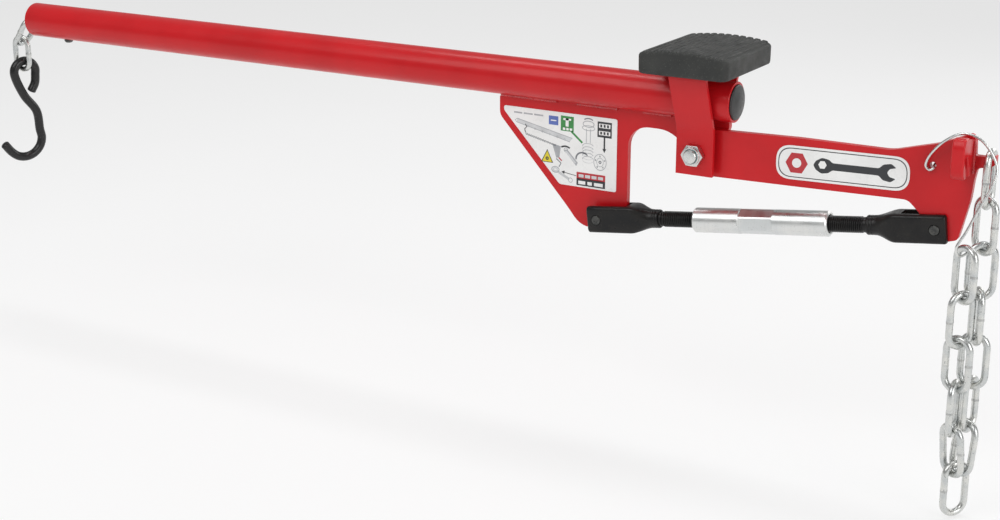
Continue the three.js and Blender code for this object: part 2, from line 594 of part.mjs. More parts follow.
// ---------- keeper wire ----------
function keeperWire() {
  const { x, z } = KEEPER_HOLE;
  const plateMiddle = (ARM_Y[0] + ARM_Y[1]) / 2;
  const hookZ = CHAIN_TOP.z - (LINK_YAW.a.length - LINK_YAW.b.length) * LINK_STEP
    - LINK_WIRE / 2 - KEEPER_RADIUS - GAP;
  const hook = { x: CHAIN_TOP.x + SECOND_STRAND.x, y: CHAIN_TOP.y + SECOND_STRAND.y };
  const through = degrees(LINK_YAW.b[0] - 90); // square to the link that hangs on the hook
  const along = (distance, rise) =>
    [hook.x + distance * Math.cos(through), hook.y + distance * Math.sin(through), hookZ + rise];
  const past = CHAIN_TOP.x + LINK_WIRE / 2 + 2 * KEEPER_RADIUS; // clear of the first link
  const over = CHAIN_TOP.z + LINK_WIRE / 2 + GAP;
  const points = [
    [x + 3, 6, z + 8], [x + 1, 4, z + 2.5], [x, plateMiddle, z], [x - 1, -11.5, z - 1.5], [x - 6, -14, z + 2],
    [x - 1, -16, z + 14], [x + 13, -18, z + 30], [x + 32, -19, z + 41], [x + 50, -18, z + 38],
    [past - 5.7, -17, over], [past + 3.3, -17, z + 7], [past + 1.3, -23, z - 12], [x + 61, -30, z - 34],
    [x + 50, -36, z - 62], along(-16, 8), along(-13, 0), along(-7, -2),
    along(0, 0), along(10, 3),
  ];
  return wire(points.map((p) => new THREE.Vector3(...p)), KEEPER_RADIUS, 6, 76);
}
add(lever, 'keeper_wire', keeperWire(), zinc);

// ---------- tether chain, its screw and the S-hook ----------
function tetherScrew() {
  const seat = TUBE_UNDERSIDE - GAP;
  return join(
    rodZ(SCREW_HEAD.radius, SCREW_X, 0, [seat - SCREW_HEAD.height, seat], 24),
    rodZ(SCREW_RADIUS, SCREW_X, 0, [seat - 1, TUBE_AXIS + TUBE_INSIDE - 4], 24),
  );
}

function hookPoints() {
  const arc = ({ x, z, radius }, from, to, count) => Array.from({ length: count }, (_, i) => {
    const turn = degrees(from + ((to - from) * i) / (count - 1));
    return [x + radius * Math.cos(turn), z + radius * Math.sin(turn)];
  });
  return [
    [HOOK_EYE.x + 8, HOOK_EYE.z - 29.5], [HOOK_EYE.x + 14.5, HOOK_EYE.z - 18],
    ...arc(HOOK_EYE, -18, 198, 8),
    [HOOK_EYE.x - 4.3, HOOK_EYE.z - 35], [HOOK_EYE.x + 13.4, HOOK_EYE.z - 61.5],
    ...arc(HOOK_BOWL, 22, -140, 7), [HOOK_BOWL.x - HOOK_BOWL.radius - 3.5, HOOK_BOWL.z - 5],
  ].map(([x, z]) => new THREE.Vector3(x, 0, z - HOOK_EYE.z - HOOK_EYE.radius));
}

function hangTether() {
  const centres = TETHER_OUTER_LENGTH - TETHER_WIRE;
  const slack = TETHER_WIRE + LINK_GAP;
  const tetherLink = () => linkGeometry(TETHER_WIRE, TETHER_OUTER_LENGTH, TETHER_OUTER_WIDTH);
  const level = TETHER_LEVEL;
  const mouth = TUBE_LEFT - TETHER_OUT;
  const second = add(lever, 'tether_link_2', tetherLink(), zinc);
  second.position.set(mouth - slack + centres, 0, level);
  second.rotation.y = Math.PI / 2;
  const first = add(lever, 'tether_link_1', tetherLink(), zinc);
  first.position.set(mouth - slack + centres - slack + centres, 0, level);
  first.rotation.set(Math.PI / 2, Math.PI / 2, 0);
  const third = add(lever, 'tether_link_3', tetherLink(), zinc);
  third.position.set(mouth, 0, level);
  third.rotation.set(0, degrees(TETHER_TILT), Math.PI / 2, 'YXZ');
  const tilt = degrees(TETHER_TILT);
  const fourth = add(lever, 'tether_link_4', tetherLink(), zinc);
  fourth.position.set(mouth - centres * Math.sin(tilt), 0, level - centres * Math.cos(tilt) + slack);
  const hook = add(lever, 's_hook', wire(hookPoints(), HOOK_RADIUS, 10, 40), blackOxide);
  hook.position.copy(fourth.position);
  hook.position.z += HOOK_RADIUS + TETHER_WIRE / 2 + 3 * LINK_GAP - centres;
  hook.rotation.z = degrees(HOOK_YAW);
}
add(lever, 'tether_screw', tetherScrew(), blackOxide);
hangTether();

export default lever;
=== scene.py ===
import json
import math

import bmesh
import bpy
from mathutils import Matrix, Vector
from mathutils.noise import noise


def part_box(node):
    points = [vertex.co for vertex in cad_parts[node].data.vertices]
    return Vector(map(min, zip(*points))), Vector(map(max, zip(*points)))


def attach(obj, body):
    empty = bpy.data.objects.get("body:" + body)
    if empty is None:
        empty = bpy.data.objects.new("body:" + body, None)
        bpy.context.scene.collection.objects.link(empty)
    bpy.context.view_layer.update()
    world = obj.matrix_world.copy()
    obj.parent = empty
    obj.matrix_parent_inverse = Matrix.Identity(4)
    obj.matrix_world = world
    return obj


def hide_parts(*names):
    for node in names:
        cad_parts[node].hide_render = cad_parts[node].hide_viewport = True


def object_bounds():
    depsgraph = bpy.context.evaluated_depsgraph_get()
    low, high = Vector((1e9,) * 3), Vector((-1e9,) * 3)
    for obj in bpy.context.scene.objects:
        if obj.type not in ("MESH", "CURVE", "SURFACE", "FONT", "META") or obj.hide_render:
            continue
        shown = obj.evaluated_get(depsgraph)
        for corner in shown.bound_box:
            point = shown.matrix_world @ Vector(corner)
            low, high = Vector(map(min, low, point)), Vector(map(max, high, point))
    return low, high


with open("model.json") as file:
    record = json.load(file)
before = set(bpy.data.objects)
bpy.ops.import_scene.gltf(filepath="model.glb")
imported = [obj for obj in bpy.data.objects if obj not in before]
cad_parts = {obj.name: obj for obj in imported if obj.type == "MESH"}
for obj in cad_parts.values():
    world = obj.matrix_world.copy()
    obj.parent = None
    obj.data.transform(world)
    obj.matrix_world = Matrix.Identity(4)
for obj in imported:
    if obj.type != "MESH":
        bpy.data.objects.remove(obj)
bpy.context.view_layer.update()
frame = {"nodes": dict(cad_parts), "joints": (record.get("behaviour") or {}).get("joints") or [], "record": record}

SCENE = bpy.context.scene
MM = 0.001
END_BULGE = 0.35  # of a wire's rounded end, in radii
JOINTS = {j["name"]: j for j in frame["joints"]}
BODY_OF = {n: b for b, ns in frame["record"]["behaviour"]["bodies"].items() for n in ns}

# Millimetres from here on: x and y as in the row frame, z from a level 66 mm above the main pivot.
DATUM = JOINTS["arm_pivot"]["pos_m"][2] + 66 * MM
TO_ROW = Matrix.Translation((0, 0, DATUM)) @ Matrix.Scale(MM, 4)
FROM_ROW = TO_ROW.inverted()


def box(node):
    low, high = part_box(node)
    return FROM_ROW @ low, FROM_ROW @ high


def joint_at(name):
    return FROM_ROW @ Vector(JOINTS[name]["pos_m"])


def frame_of(origin, along, across=(0, 1, 0)):
    """A matrix whose X runs along, and whose Y is as near to across as it can be."""
    x = Vector(along).normalized()
    z = x.cross(Vector(across)).normalized()
    y = z.cross(x)
    m = Matrix((x, y, z)).transposed().to_4x4()
    m.translation = origin
    return m


# ---------------------------------------------------------------- materials
def material(name, colour, second, rough, metal=0.0, mottle=40.0, spread=0.08, grain=1400.0,
             bump=0.15, depth=0.0002, coat=0.0, coat_rough=0.06, edge=None, edge_at=0.56,
             speckle=None, lines=None, specular=0.5):
    """A finish of two mottled colours with grain, uneven gloss, lighter edges that are part wear and part painted
    highlight, and fine specks.
    colour, second, edge and speckle's colour are linear RGB.
    lines is (direction, pitch in metres, strength) of turning or brushing marks."""
    m = bpy.data.materials.new(name)
    m.use_nodes = True
    tree = m.node_tree
    shader = tree.nodes["Principled BSDF"]
    link = tree.links.new

    def node(kind, **settings):
        made = tree.nodes.new(kind)
        for key, value in settings.items():
            if key in made.inputs:
                made.inputs[key].default_value = value
            else:
                setattr(made, key, value)
        return made

    def noise_of(scale, detail=3.0):
        made = node("ShaderNodeTexNoise", Scale=scale, Detail=detail)
        link(place.outputs["Object"], made.inputs["Vector"])
        return made.outputs["Fac"]

    def ranged(value, low, high, to_low=0.0, to_high=1.0):
        made = node("ShaderNodeMapRange", **{"From Min": low, "From Max": high,
                                             "To Min": to_low, "To Max": to_high})
        link(value, made.inputs["Value"])
        return made.outputs["Result"]

    def mixed(factor, a, b):
        made = node("ShaderNodeMix", data_type="RGBA")
        link(factor, made.inputs[0])
        for socket, value in ((made.inputs[6], a), (made.inputs[7], b)):
            if isinstance(value, tuple):
                socket.default_value = (*value, 1)
            else:
                link(value, socket)
        return made.outputs[2]

    def times(a, b):
        made = node("ShaderNodeMath", operation="MULTIPLY")
        link(a, made.inputs[0])
        if isinstance(b, float):
            made.inputs[1].default_value = b
        else:
            link(b, made.inputs[1])
        return made.outputs[0]

    place = node("ShaderNodeTexCoord")
    broad = noise_of(mottle, 4.0)
    fine = noise_of(grain, 2.0)
    base = mixed(ranged(broad, 0.35, 0.65), colour, second)
    gloss = ranged(noise_of(mottle * 3.1, 3.0), 0.3, 0.7, rough - spread, rough + spread)
    height = fine
    if speckle:
        tint, scale, amount = speckle
        spots = ranged(noise_of(scale, 1.0), 0.68 - amount, 0.74 - amount)
        base = mixed(spots, base, tint)
    if lines:
        direction, pitch, strength = lines
        marks = node("ShaderNodeTexNoise", Scale=1.0, Detail=2.0)
        squeeze = node("ShaderNodeMapping", Scale=tuple(
            (abs(c) / pitch) + 6.0 * (1 - abs(c)) for c in direction))
        link(place.outputs["Object"], squeeze.inputs["Vector"])
        link(squeeze.outputs["Vector"], marks.inputs["Vector"])
        ring = ranged(marks.outputs["Fac"], 0.35, 0.65)
        base = mixed(times(ring, strength), base, tuple(c * 0.72 for c in colour))
        height = ring
    # Lighter colour on pointy edges: partly wear, partly a painted highlight along the edges.
    if edge:
        shape = node("ShaderNodeNewGeometry")
        edge_wear_and_highlight = times(ranged(shape.outputs["Pointiness"], edge_at, edge_at + 0.08),
                     ranged(noise_of(260.0), 0.45, 0.62))
        base = mixed(edge_wear_and_highlight, base, edge)
    link(base, shader.inputs["Base Color"])
    link(gloss, shader.inputs["Roughness"])
    relief = node("ShaderNodeBump", Strength=bump, Distance=depth)
    link(height, relief.inputs["Height"])
    link(relief.outputs["Normal"], shader.inputs["Normal"])
    shader.inputs["Metallic"].default_value = metal
    shader.inputs["Specular IOR Level"].default_value = specular
    shader.inputs["Coat Weight"].default_value = coat
    shader.inputs["Coat Roughness"].default_value = coat_rough
    return m


RED = material("red_powder_coat", (0.58, 0.0075, 0.0120), (0.51, 0.0062, 0.0100), 0.34, mottle=14,
               spread=0.06, grain=420, bump=0.08, depth=0.0004, coat=0.16, coat_rough=0.14, specular=0.26)
RED_WELD = material("red_painted_weld", (0.58, 0.0085, 0.013), (0.46, 0.006, 0.010), 0.26, mottle=60,
                    grain=700, bump=0.25, depth=0.0004, coat=0.6, coat_rough=0.08)
# The edge colours below lighten pointy edges: part wear, part painted edge highlight.
RUBBER = material("ribbed_rubber", (0.020, 0.0215, 0.020), (0.034, 0.035, 0.032), 0.62, mottle=22,
                  spread=0.10, grain=1700, bump=0.35, depth=0.0003, edge=(0.060, 0.062, 0.055),
                  edge_at=0.53, speckle=((0.055, 0.056, 0.050), 620.0, 0.03))
PLASTIC = material("moulded_plastic", (0.018, 0.019, 0.019), (0.028, 0.029, 0.029), 0.42, mottle=70,
                   grain=2200, bump=0.18, depth=0.0002, speckle=((0.05, 0.05, 0.05), 900.0, 0.0))
BLACK = material("black_oxide", (0.0075, 0.0075, 0.0080), (0.014, 0.013, 0.012), 0.36, mottle=55,
                 spread=0.10, grain=900, bump=0.22, depth=0.0003, coat=0.10, coat_rough=0.22, specular=0.22,
                 speckle=((0.03, 0.026, 0.022), 700.0, 0.0))
HOOK = material("black_dipped_wire", (0.0085, 0.0085, 0.0088), (0.015, 0.015, 0.015), 0.30, mottle=80,
                spread=0.08, grain=1100, bump=0.16, depth=0.0003, coat=0.2, coat_rough=0.12, specular=0.3,
                speckle=((0.06, 0.06, 0.058), 500.0, -0.01))
DARK = material("oiled_steel", (0.055, 0.056, 0.055), (0.10, 0.10, 0.095), 0.36, metal=0.8, mottle=160,
                grain=1500, bump=0.15, depth=0.0002, edge=(0.25, 0.25, 0.24))
ZINC = material("bright_zinc", (0.60, 0.62, 0.62), (0.72, 0.72, 0.70), 0.27, metal=1.0, mottle=120,
                spread=0.08, grain=1500, bump=0.12, depth=0.0002, edge=(0.85, 0.86, 0.85),
                speckle=((0.42, 0.43, 0.42), 900.0, -0.01))
CHAIN = material("chain_zinc", (0.56, 0.58, 0.58), (0.70, 0.70, 0.67), 0.30, metal=1.0, mottle=75,
                 spread=0.10, grain=900, bump=0.22, depth=0.0003, edge=(0.82, 0.83, 0.82),
                 edge_at=0.55, speckle=((0.38, 0.39, 0.385), 420.0, 0.0))
SEAM = material("chain_weld", (0.40, 0.41, 0.41), (0.58, 0.58, 0.56), 0.42, metal=1.0, mottle=300,
                grain=700, bump=0.5, depth=0.0004)
SLEEVE = material("turned_zinc", (0.66, 0.68, 0.68), (0.76, 0.76, 0.74), 0.34, metal=1.0, mottle=30,
                  spread=0.07, bump=0.20, depth=0.0001, lines=((1, 0, 0), 0.0006, 0.18),
                  edge=(0.86, 0.87, 0.86), speckle=((0.50, 0.51, 0.50), 700.0, 0.0))
STRIP = material("stamped_red_mark", (0.16, 0.020, 0.032), (0.10, 0.014, 0.022), 0.50, mottle=300,
                 spread=0.10, grain=1100, bump=0.2)
FILM = material("label_film", (0.86, 0.86, 0.85), (0.80, 0.80, 0.79), 0.30, mottle=26, spread=0.07,
                grain=600, bump=0.05, depth=0.0002, coat=0.35, coat_rough=0.12)


def ink(name, colour):
    dim = tuple(c * 0.84 for c in colour)
    return material(name, colour, dim, 0.34, mottle=90, spread=0.05, grain=2600, bump=0.04,
                    coat=0.3, coat_rough=0.14)


INKS = [FILM, ink("ink_dark", (0.020, 0.022, 0.026)), ink("ink_grey", (0.42, 0.43, 0.45)),
        ink("ink_pale_grey", (0.64, 0.65, 0.66)), ink("ink_blue", (0.10, 0.16, 0.48)),
        ink("ink_green", (0.035, 0.26, 0.055)), ink("ink_yellow", (0.80, 0.66, 0.02)),
        ink("ink_red", (0.50, 0.016, 0.026)), ink("ink_mid_grey", (0.17, 0.18, 0.20))]
WHITE_INK, DARK_INK, GREY_INK, PALE_INK, BLUE_INK, GREEN_INK, YELLOW_INK, RED_INK, MID_INK = range(9)


# ---------------------------------------------------------------- mesh tools
class Solid:
    """Vertices in millimetres and faces, each with a number for its finish."""

    def __init__(self):
        self.verts, self.faces, self.marks = [], [], []

    def add(self, shape, place=None, mark=0):
        verts, faces = shape
        start = len(self.verts)
        self.verts += [place @ Vector(v) if place else Vector(v) for v in verts]
        self.faces += [tuple(i + start for i in f) for f in faces]
        self.marks += [mark] * len(faces)
        return self


def made(name, solid, finishes, sharp=38.0):
    """A new object from a Solid, in the row frame, smooth but for edges sharper than sharp."""
    mesh = bpy.data.meshes.new(name)
    mesh.from_pydata([TO_ROW @ v for v in solid.verts], [], solid.faces)
    for finish in finishes:
        mesh.materials.append(finish)
    mesh.polygons.foreach_set("material_index", solid.marks)
    return settled(name, mesh, sharp)


def settled(name, mesh, sharp=38.0):
    bm = bmesh.new()
    bm.from_mesh(mesh)
    bmesh.ops.remove_doubles(bm, verts=bm.verts, dist=2e-7)
    bmesh.ops.recalc_face_normals(bm, faces=bm.faces)
    bm.to_mesh(mesh)
    bm.free()
    mesh.shade_smooth()
    mesh.set_sharp_from_angle(angle=math.radians(sharp))
    obj = bpy.data.objects.new(name, mesh)
    SCENE.collection.objects.link(obj)
    return obj


def stands_for(obj, *nodes):
    """obj replaces those CAD nodes and rides on the first one's body."""
    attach(obj, BODY_OF[nodes[0]])
    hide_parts(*nodes)
    return obj


def rides_with(obj, node):
    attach(obj, BODY_OF[node])
    return obj


def with_modifiers(obj):
    """Applies obj's modifiers to its mesh."""
    graph = bpy.context.evaluated_depsgraph_get()
    mesh = bpy.data.meshes.new_from_object(obj.evaluated_get(graph), depsgraph=graph)
    obj.modifiers.clear()
    obj.data = mesh
    return obj


def bevelled(obj, width, segments=3, angle=32.0):
    bevel = obj.modifiers.new("bevel", "BEVEL")
    bevel.width, bevel.segments, bevel.limit_method = width * MM, segments, "ANGLE"
    bevel.angle_limit = math.radians(angle)
    bevel.miter_outer = "MITER_ARC"
    bevel.harden_normals = True
    bevel.use_clamp_overlap = True
    return with_modifiers(obj)


def refined(name, node, finish, width, dissolve=2.0, angle=32.0):
    """A copy of a CAD node with flat faces merged and its edges rounded over."""
    source = frame["nodes"][node].data
    bm = bmesh.new()
    bm.from_mesh(source)
    bmesh.ops.remove_doubles(bm, verts=bm.verts, dist=2e-6)
    bmesh.ops.dissolve_limit(bm, angle_limit=math.radians(dissolve), verts=bm.verts, edges=bm.edges)
    mesh = bpy.data.meshes.new(name)
    bm.to_mesh(mesh)
    bm.free()
    mesh.materials.clear()
    mesh.materials.append(finish)
    mesh.polygons.foreach_set("material_index", [0] * len(mesh.polygons))
    obj = settled(name, mesh)
    return stands_for(bevelled(obj, width, 3, angle), node)


def rounded(corners, radius, steps=4, closed=True):
    """Corners with each one rounded off. A corner may carry its own radius as a third number."""
    out = []
    count = len(corners)
    for i, corner in enumerate(corners):
        own = corner[2] if len(corner) > 2 else radius
        p = Vector(corner[:2])
        if (not closed and i in (0, count - 1)) or own <= 0:
            out.append(tuple(p))
            continue
        before, after = Vector(corners[i - 1][:2]) - p, Vector(corners[(i + 1) % count][:2]) - p
        reach = min(own, before.length * 0.49, after.length * 0.49)
        a, b = p + before.normalized() * reach, p + after.normalized() * reach
        for k in range(steps + 1):
            t = k / steps
            out.append(tuple(a * (1 - t) ** 2 + p * 2 * t * (1 - t) + b * t * t))
    return out


def joined(rings, closed_round=True, closed_along=False, caps=True):
    """Faces between rings of points, all with the same count. A ring of one point is a pole."""
    verts, faces, starts = [], [], []
    for ring in rings:
        starts.append(len(verts))
        verts += ring
    pairs = list(range(len(rings) - 1)) + ([len(rings) - 1] if closed_along else [])
    for r in pairs:
        a, b = starts[r], starts[(r + 1) % len(rings)]
        na, nb = len(rings[r]), len(rings[(r + 1) % len(rings)])
        n = max(na, nb)
        for i in range(n if closed_round else n - 1):
            j = (i + 1) % n
            if na == 1:
                faces.append((a, b + i, b + j))
            elif nb == 1:
                faces.append((a + i, a + j, b))
            else:
                faces.append((a + i, a + j, b + j, b + i))
    if caps and not closed_along:
        for r in (0, len(rings) - 1):
            if len(rings[r]) > 2:
                faces.append(tuple(starts[r] + i for i in range(len(rings[r]))))
    return verts, faces


def turned(profile, sides=56, closed=False):
    """A shape turned about X from a profile of (x, radius)."""
    rings = []
    for x, radius in profile:
        if radius < 1e-6:
            rings.append([(x, 0, 0)])
        else:
            rings.append([(x, radius * math.cos(2 * math.pi * i / sides),
                           radius * math.sin(2 * math.pi * i / sides)) for i in range(sides)])
    return joined(rings, closed_along=closed, caps=False)


def disc(x0, x1, radius, soft, sides=56):
    """A turned plug from x0 to x1 with rounded rims."""
    return turned(rounded([(x0, 0), (x0, radius), (x1, radius), (x1, 0)], soft, 3, closed=False), sides)


def washer(x0, x1, outer, inner, soft, sides=48):
    return turned(rounded([(x0, inner), (x0, outer), (x1, outer), (x1, inner)], soft, 3), sides, closed=True)


def hexed(x0, x1, flats, bore=0.0, sides=72, crown=0.965):
    """A hexagon with turned-off corners, along X, bored if bore is not 0."""
    def edge(turn):
        step = (turn + math.pi / 6) % (math.pi / 3) - math.pi / 6
        return flats / 2 / math.cos(step)

    turns = [2 * math.pi * i / sides for i in range(sides)]
    face = [min(edge(t), flats / 2 * crown) for t in turns]
    drop = [(edge(t) - f) * math.tan(math.radians(26)) for t, f in zip(turns, face)]

    def ring(x, radii):
        return [(x_, r * math.cos(t), r * math.sin(t)) for x_, r, t in zip(x, radii, turns)]

    rings = [ring([x0] * sides, face), ring([x0 + d for d in drop], [edge(t) for t in turns]),
             ring([x1 - d for d in drop], [edge(t) for t in turns]), ring([x1] * sides, face)]
    if bore:
        lip = 0.9
        rings = [ring([x0 + lip] * sides, [bore] * sides), ring([x0] * sides, [bore + lip] * sides),
                 *rings, ring([x1] * sides, [bore + lip] * sides),
                 ring([x1 - lip] * sides, [bore] * sides)]
        return joined(rings, closed_along=True)
    return joined(rings)


def swept(line, radius, sides=16, closed=False, up=None):
    """A wire along points, with rounded ends if open. radius is a number or one number per point."""
    line = [Vector(p) for p in line]
    n = len(line)
    radii = list(radius) if hasattr(radius, "__len__") else [radius] * n
    tangents = []
    for i in range(n):
        a = line[i - 1] if (closed or i > 0) else line[i]
        b = line[(i + 1) % n] if (closed or i < n - 1) else line[i]
        tangents.append((b - a).normalized())
    normal = Vector(up).cross(tangents[0]).normalized() if up else tangents[0].orthogonal().normalized()
    normals = [normal]
    for i in range(1, n):
        turn = tangents[i - 1].rotation_difference(tangents[i])
        normal = turn @ normal
        normal = (normal - tangents[i] * normal.dot(tangents[i])).normalized()
        normals.append(normal)

    def ring(p, t, a, r):
        b = t.cross(a)
        return [p + a * (r * math.cos(2 * math.pi * k / sides))
                + b * (r * math.sin(2 * math.pi * k / sides)) for k in range(sides)]

    def end_rings(i, way):
        out = []
        for lift in map(math.radians, (90, 60, 30)):
            place = line[i] + tangents[i] * (way * END_BULGE * radii[i] * math.sin(lift))
            out.append(ring(place, tangents[i], normals[i], max(radii[i] * math.cos(lift), 0.02)))
        return out

    rings = [ring(p, t, a, r) for p, t, a, r in zip(line, tangents, normals, radii)]
    if not closed:
        rings = end_rings(0, -1) + rings + end_rings(-1, 1)[::-1]
    return joined(rings, closed_along=closed)


def through(points, per_span=8):
    """A centripetal Catmull-Rom line through the points."""
    p = [Vector(q) for q in points]
    p = [p[0] * 2 - p[1]] + p + [p[-1] * 2 - p[-2]]
    out = []
    for i in range(1, len(p) - 2):
        a, b, c, d = p[i - 1:i + 3]
        t0 = 0.0
        t1 = t0 + max((b - a).length, 1e-4) ** 0.5
        t2 = t1 + max((c - b).length, 1e-4) ** 0.5
        t3 = t2 + max((d - c).length, 1e-4) ** 0.5
        for k in range(per_span):
            t = t1 + (t2 - t1) * k / per_span
            ab = a * ((t1 - t) / (t1 - t0)) + b * ((t - t0) / (t1 - t0))
            bc = b * ((t2 - t) / (t2 - t1)) + c * ((t - t1) / (t2 - t1))
            cd = c * ((t3 - t) / (t3 - t2)) + d * ((t - t2) / (t3 - t2))
            abc = ab * ((t2 - t) / (t2 - t0)) + bc * ((t - t0) / (t2 - t0))
            bcd = bc * ((t3 - t) / (t3 - t1)) + cd * ((t - t1) / (t3 - t1))
            out.append(abc * ((t2 - t) / (t2 - t1)) + bcd * ((t - t1) / (t2 - t1)))
    return out + [p[-2]]


def flat(points, near, far):
    """A thin plate from an outline in x and z, between two values of y."""
    n = len(points)
    verts = [(x, near, z) for x, z in points] + [(x, far, z) for x, z in points]
    faces = [tuple(range(n)), tuple(range(2 * n - 1, n - 1, -1))]
    faces += [(i, i + n, (i + 1) % n + n, (i + 1) % n) for i in range(n)]
    return verts, faces


def weld_line(points, size, pitch=3.2, step=0.8):
    """A bead of overlapping ripples along a line of points."""
    spans = [Vector(q) for q in points]
    fine, travelled, radii = [], 0.0, []
    for a, b in zip(spans, spans[1:]):
        length = (b - a).length
        for k in range(max(1, int(length / step))):
            share = k / max(1, int(length / step))
            fine.append(a.lerp(b, share))
            wave = ((travelled + length * share) % pitch) / pitch
            radii.append(size * (0.86 + 0.2 * math.sqrt(max(0.0, 1 - (2 * wave - 1) ** 2))
                                 + 0.07 * noise(fine[-1] * 0.13)))
        travelled += length
    return swept(fine, radii, 10)


# ---------------------------------------------------------------- tube, plug and screw
tube_low, tube_high = box("lever_tube")
TUBE_R = (tube_high.z - tube_low.z) / 2
TUBE_Z = (tube_high.z + tube_low.z) / 2
TUBE_X = (tube_low.x, tube_high.x)
TUBE_LINE = Matrix.Translation((0, 0, TUBE_Z))
WALL = 3.6
BORE = TUBE_R - WALL
tube = Solid()
profile = rounded([(TUBE_X[0], BORE), (TUBE_X[0], TUBE_R), (TUBE_X[1], TUBE_R), (TUBE_X[1], BORE)], 0.9, 4)
stations = []
for a, b in zip(profile, profile[1:] + profile[:1]):
    stations.append(a)
    if abs(b[0] - a[0]) > 200:
        stations += [(a[0] + (b[0] - a[0]) * k / 24, a[1] + (b[1] - a[1]) * k / 24) for k in range(1, 24)]
tube.add(turned(stations, 96, closed=True), TUBE_LINE)
stands_for(made("tube", tube, [RED]), "lever_tube")

plug_low, plug_high = box("tube_plug")
rim = (plug_high.z - plug_low.z) / 2
plug = Solid()
face = TUBE_X[1] + 0.2
plug.add(turned(rounded([
    (plug_low.x, 0), (plug_low.x, BORE - 1.2, 0.8), (face, BORE - 0.4, 0.1), (face, rim, 0.5),
    (face + 1.3, rim, 1.0), (face + 2.2, rim - 1.6, 1.2), (plug_high.x - 1.6, rim * 0.62, 5),
    (plug_high.x - 0.3, rim * 0.3, 5), (plug_high.x - 0.1, 0)], 0.4, 5, closed=False), 72), TUBE_LINE)
stands_for(made("end_plug", plug, [PLASTIC]), "tube_plug")

screw_low, screw_high = box("tether_screw")
screw_x = (screw_low.x + screw_high.x) / 2
upward = frame_of((screw_x, 0, 0), (0, 0, 1))
head = (screw_high.x - screw_low.x) / 2
seat = TUBE_Z - TUBE_R
screw = Solid()
screw.add(turned(rounded([
    (screw_low.z + 2.4, 0), (screw_low.z + 2.2, 2.9, 0.1), (screw_low.z, 3.1, 0.3), (screw_low.z, 4.2, 0.8),
    (screw_low.z + 2.2, head, 1.2), (seat, head, 0.2), (seat, 4), (screw_high.z, 4), (screw_high.z, 0)],
    0.3, 4, closed=False), 40), upward)
stands_for(made("tether_screw_button", screw, [DARK]), "tether_screw")

# ---------------------------------------------------------------- plates
refined("gusset", "gusset_plate", RED, 0.9)
refined("saddle_strap", "saddle_bracket", RED, 1.1)
refined("arm", "arm_plate", RED, 0.9)
refined("claw_block", "chain_claw", RED, 2.0)
refined("claw_back_block", "claw_backing", RED, 1.8)

gusset_low, gusset_high = box("gusset_plate")
arm_low, arm_high = box("arm_plate")
claw_low, claw_high = box("chain_claw")
welds = Solid()
for side, y in ((-1, gusset_low.y), (1, gusset_high.y)):
    drop = TUBE_Z - math.sqrt(TUBE_R ** 2 - y * y) - 0.7
    for x0, x1 in ((gusset_low.x + 3, -196), (-168, -112), (-78, -40)):
        welds.add(weld_line([(x0, y + side * 1.1, drop), (x1, y + side * 1.1, drop)], 2.3))
rides_with(made("gusset_welds", welds, [RED_WELD]), "gusset_plate")

claw_weld = Solid()
left, right, foot, root = claw_low.x - 0.6, claw_high.x + 0.6, claw_low.z + 1, claw_high.z - 8
ring = rounded([(left, foot), (left, root), (right, root), (right, foot)], 2, 3, closed=False)
claw_weld.add(weld_line([(x, arm_low.y - 0.9, z) for x, z in ring], 2.0, 2.8, 0.7))
rides_with(made("claw_weld", claw_weld, [RED_WELD]), "chain_claw")

# ---------------------------------------------------------------- pad
pad_low, pad_high = box("fulcrum_pad")
A, B = (pad_high.x - pad_low.x) / 2, (pad_high.y - pad_low.y) / 2
RIBS, PITCH, RISE, CROWN = 11, 9.3, 1.6, 5.0
CORNER, ROUND = 9.0, 3.4


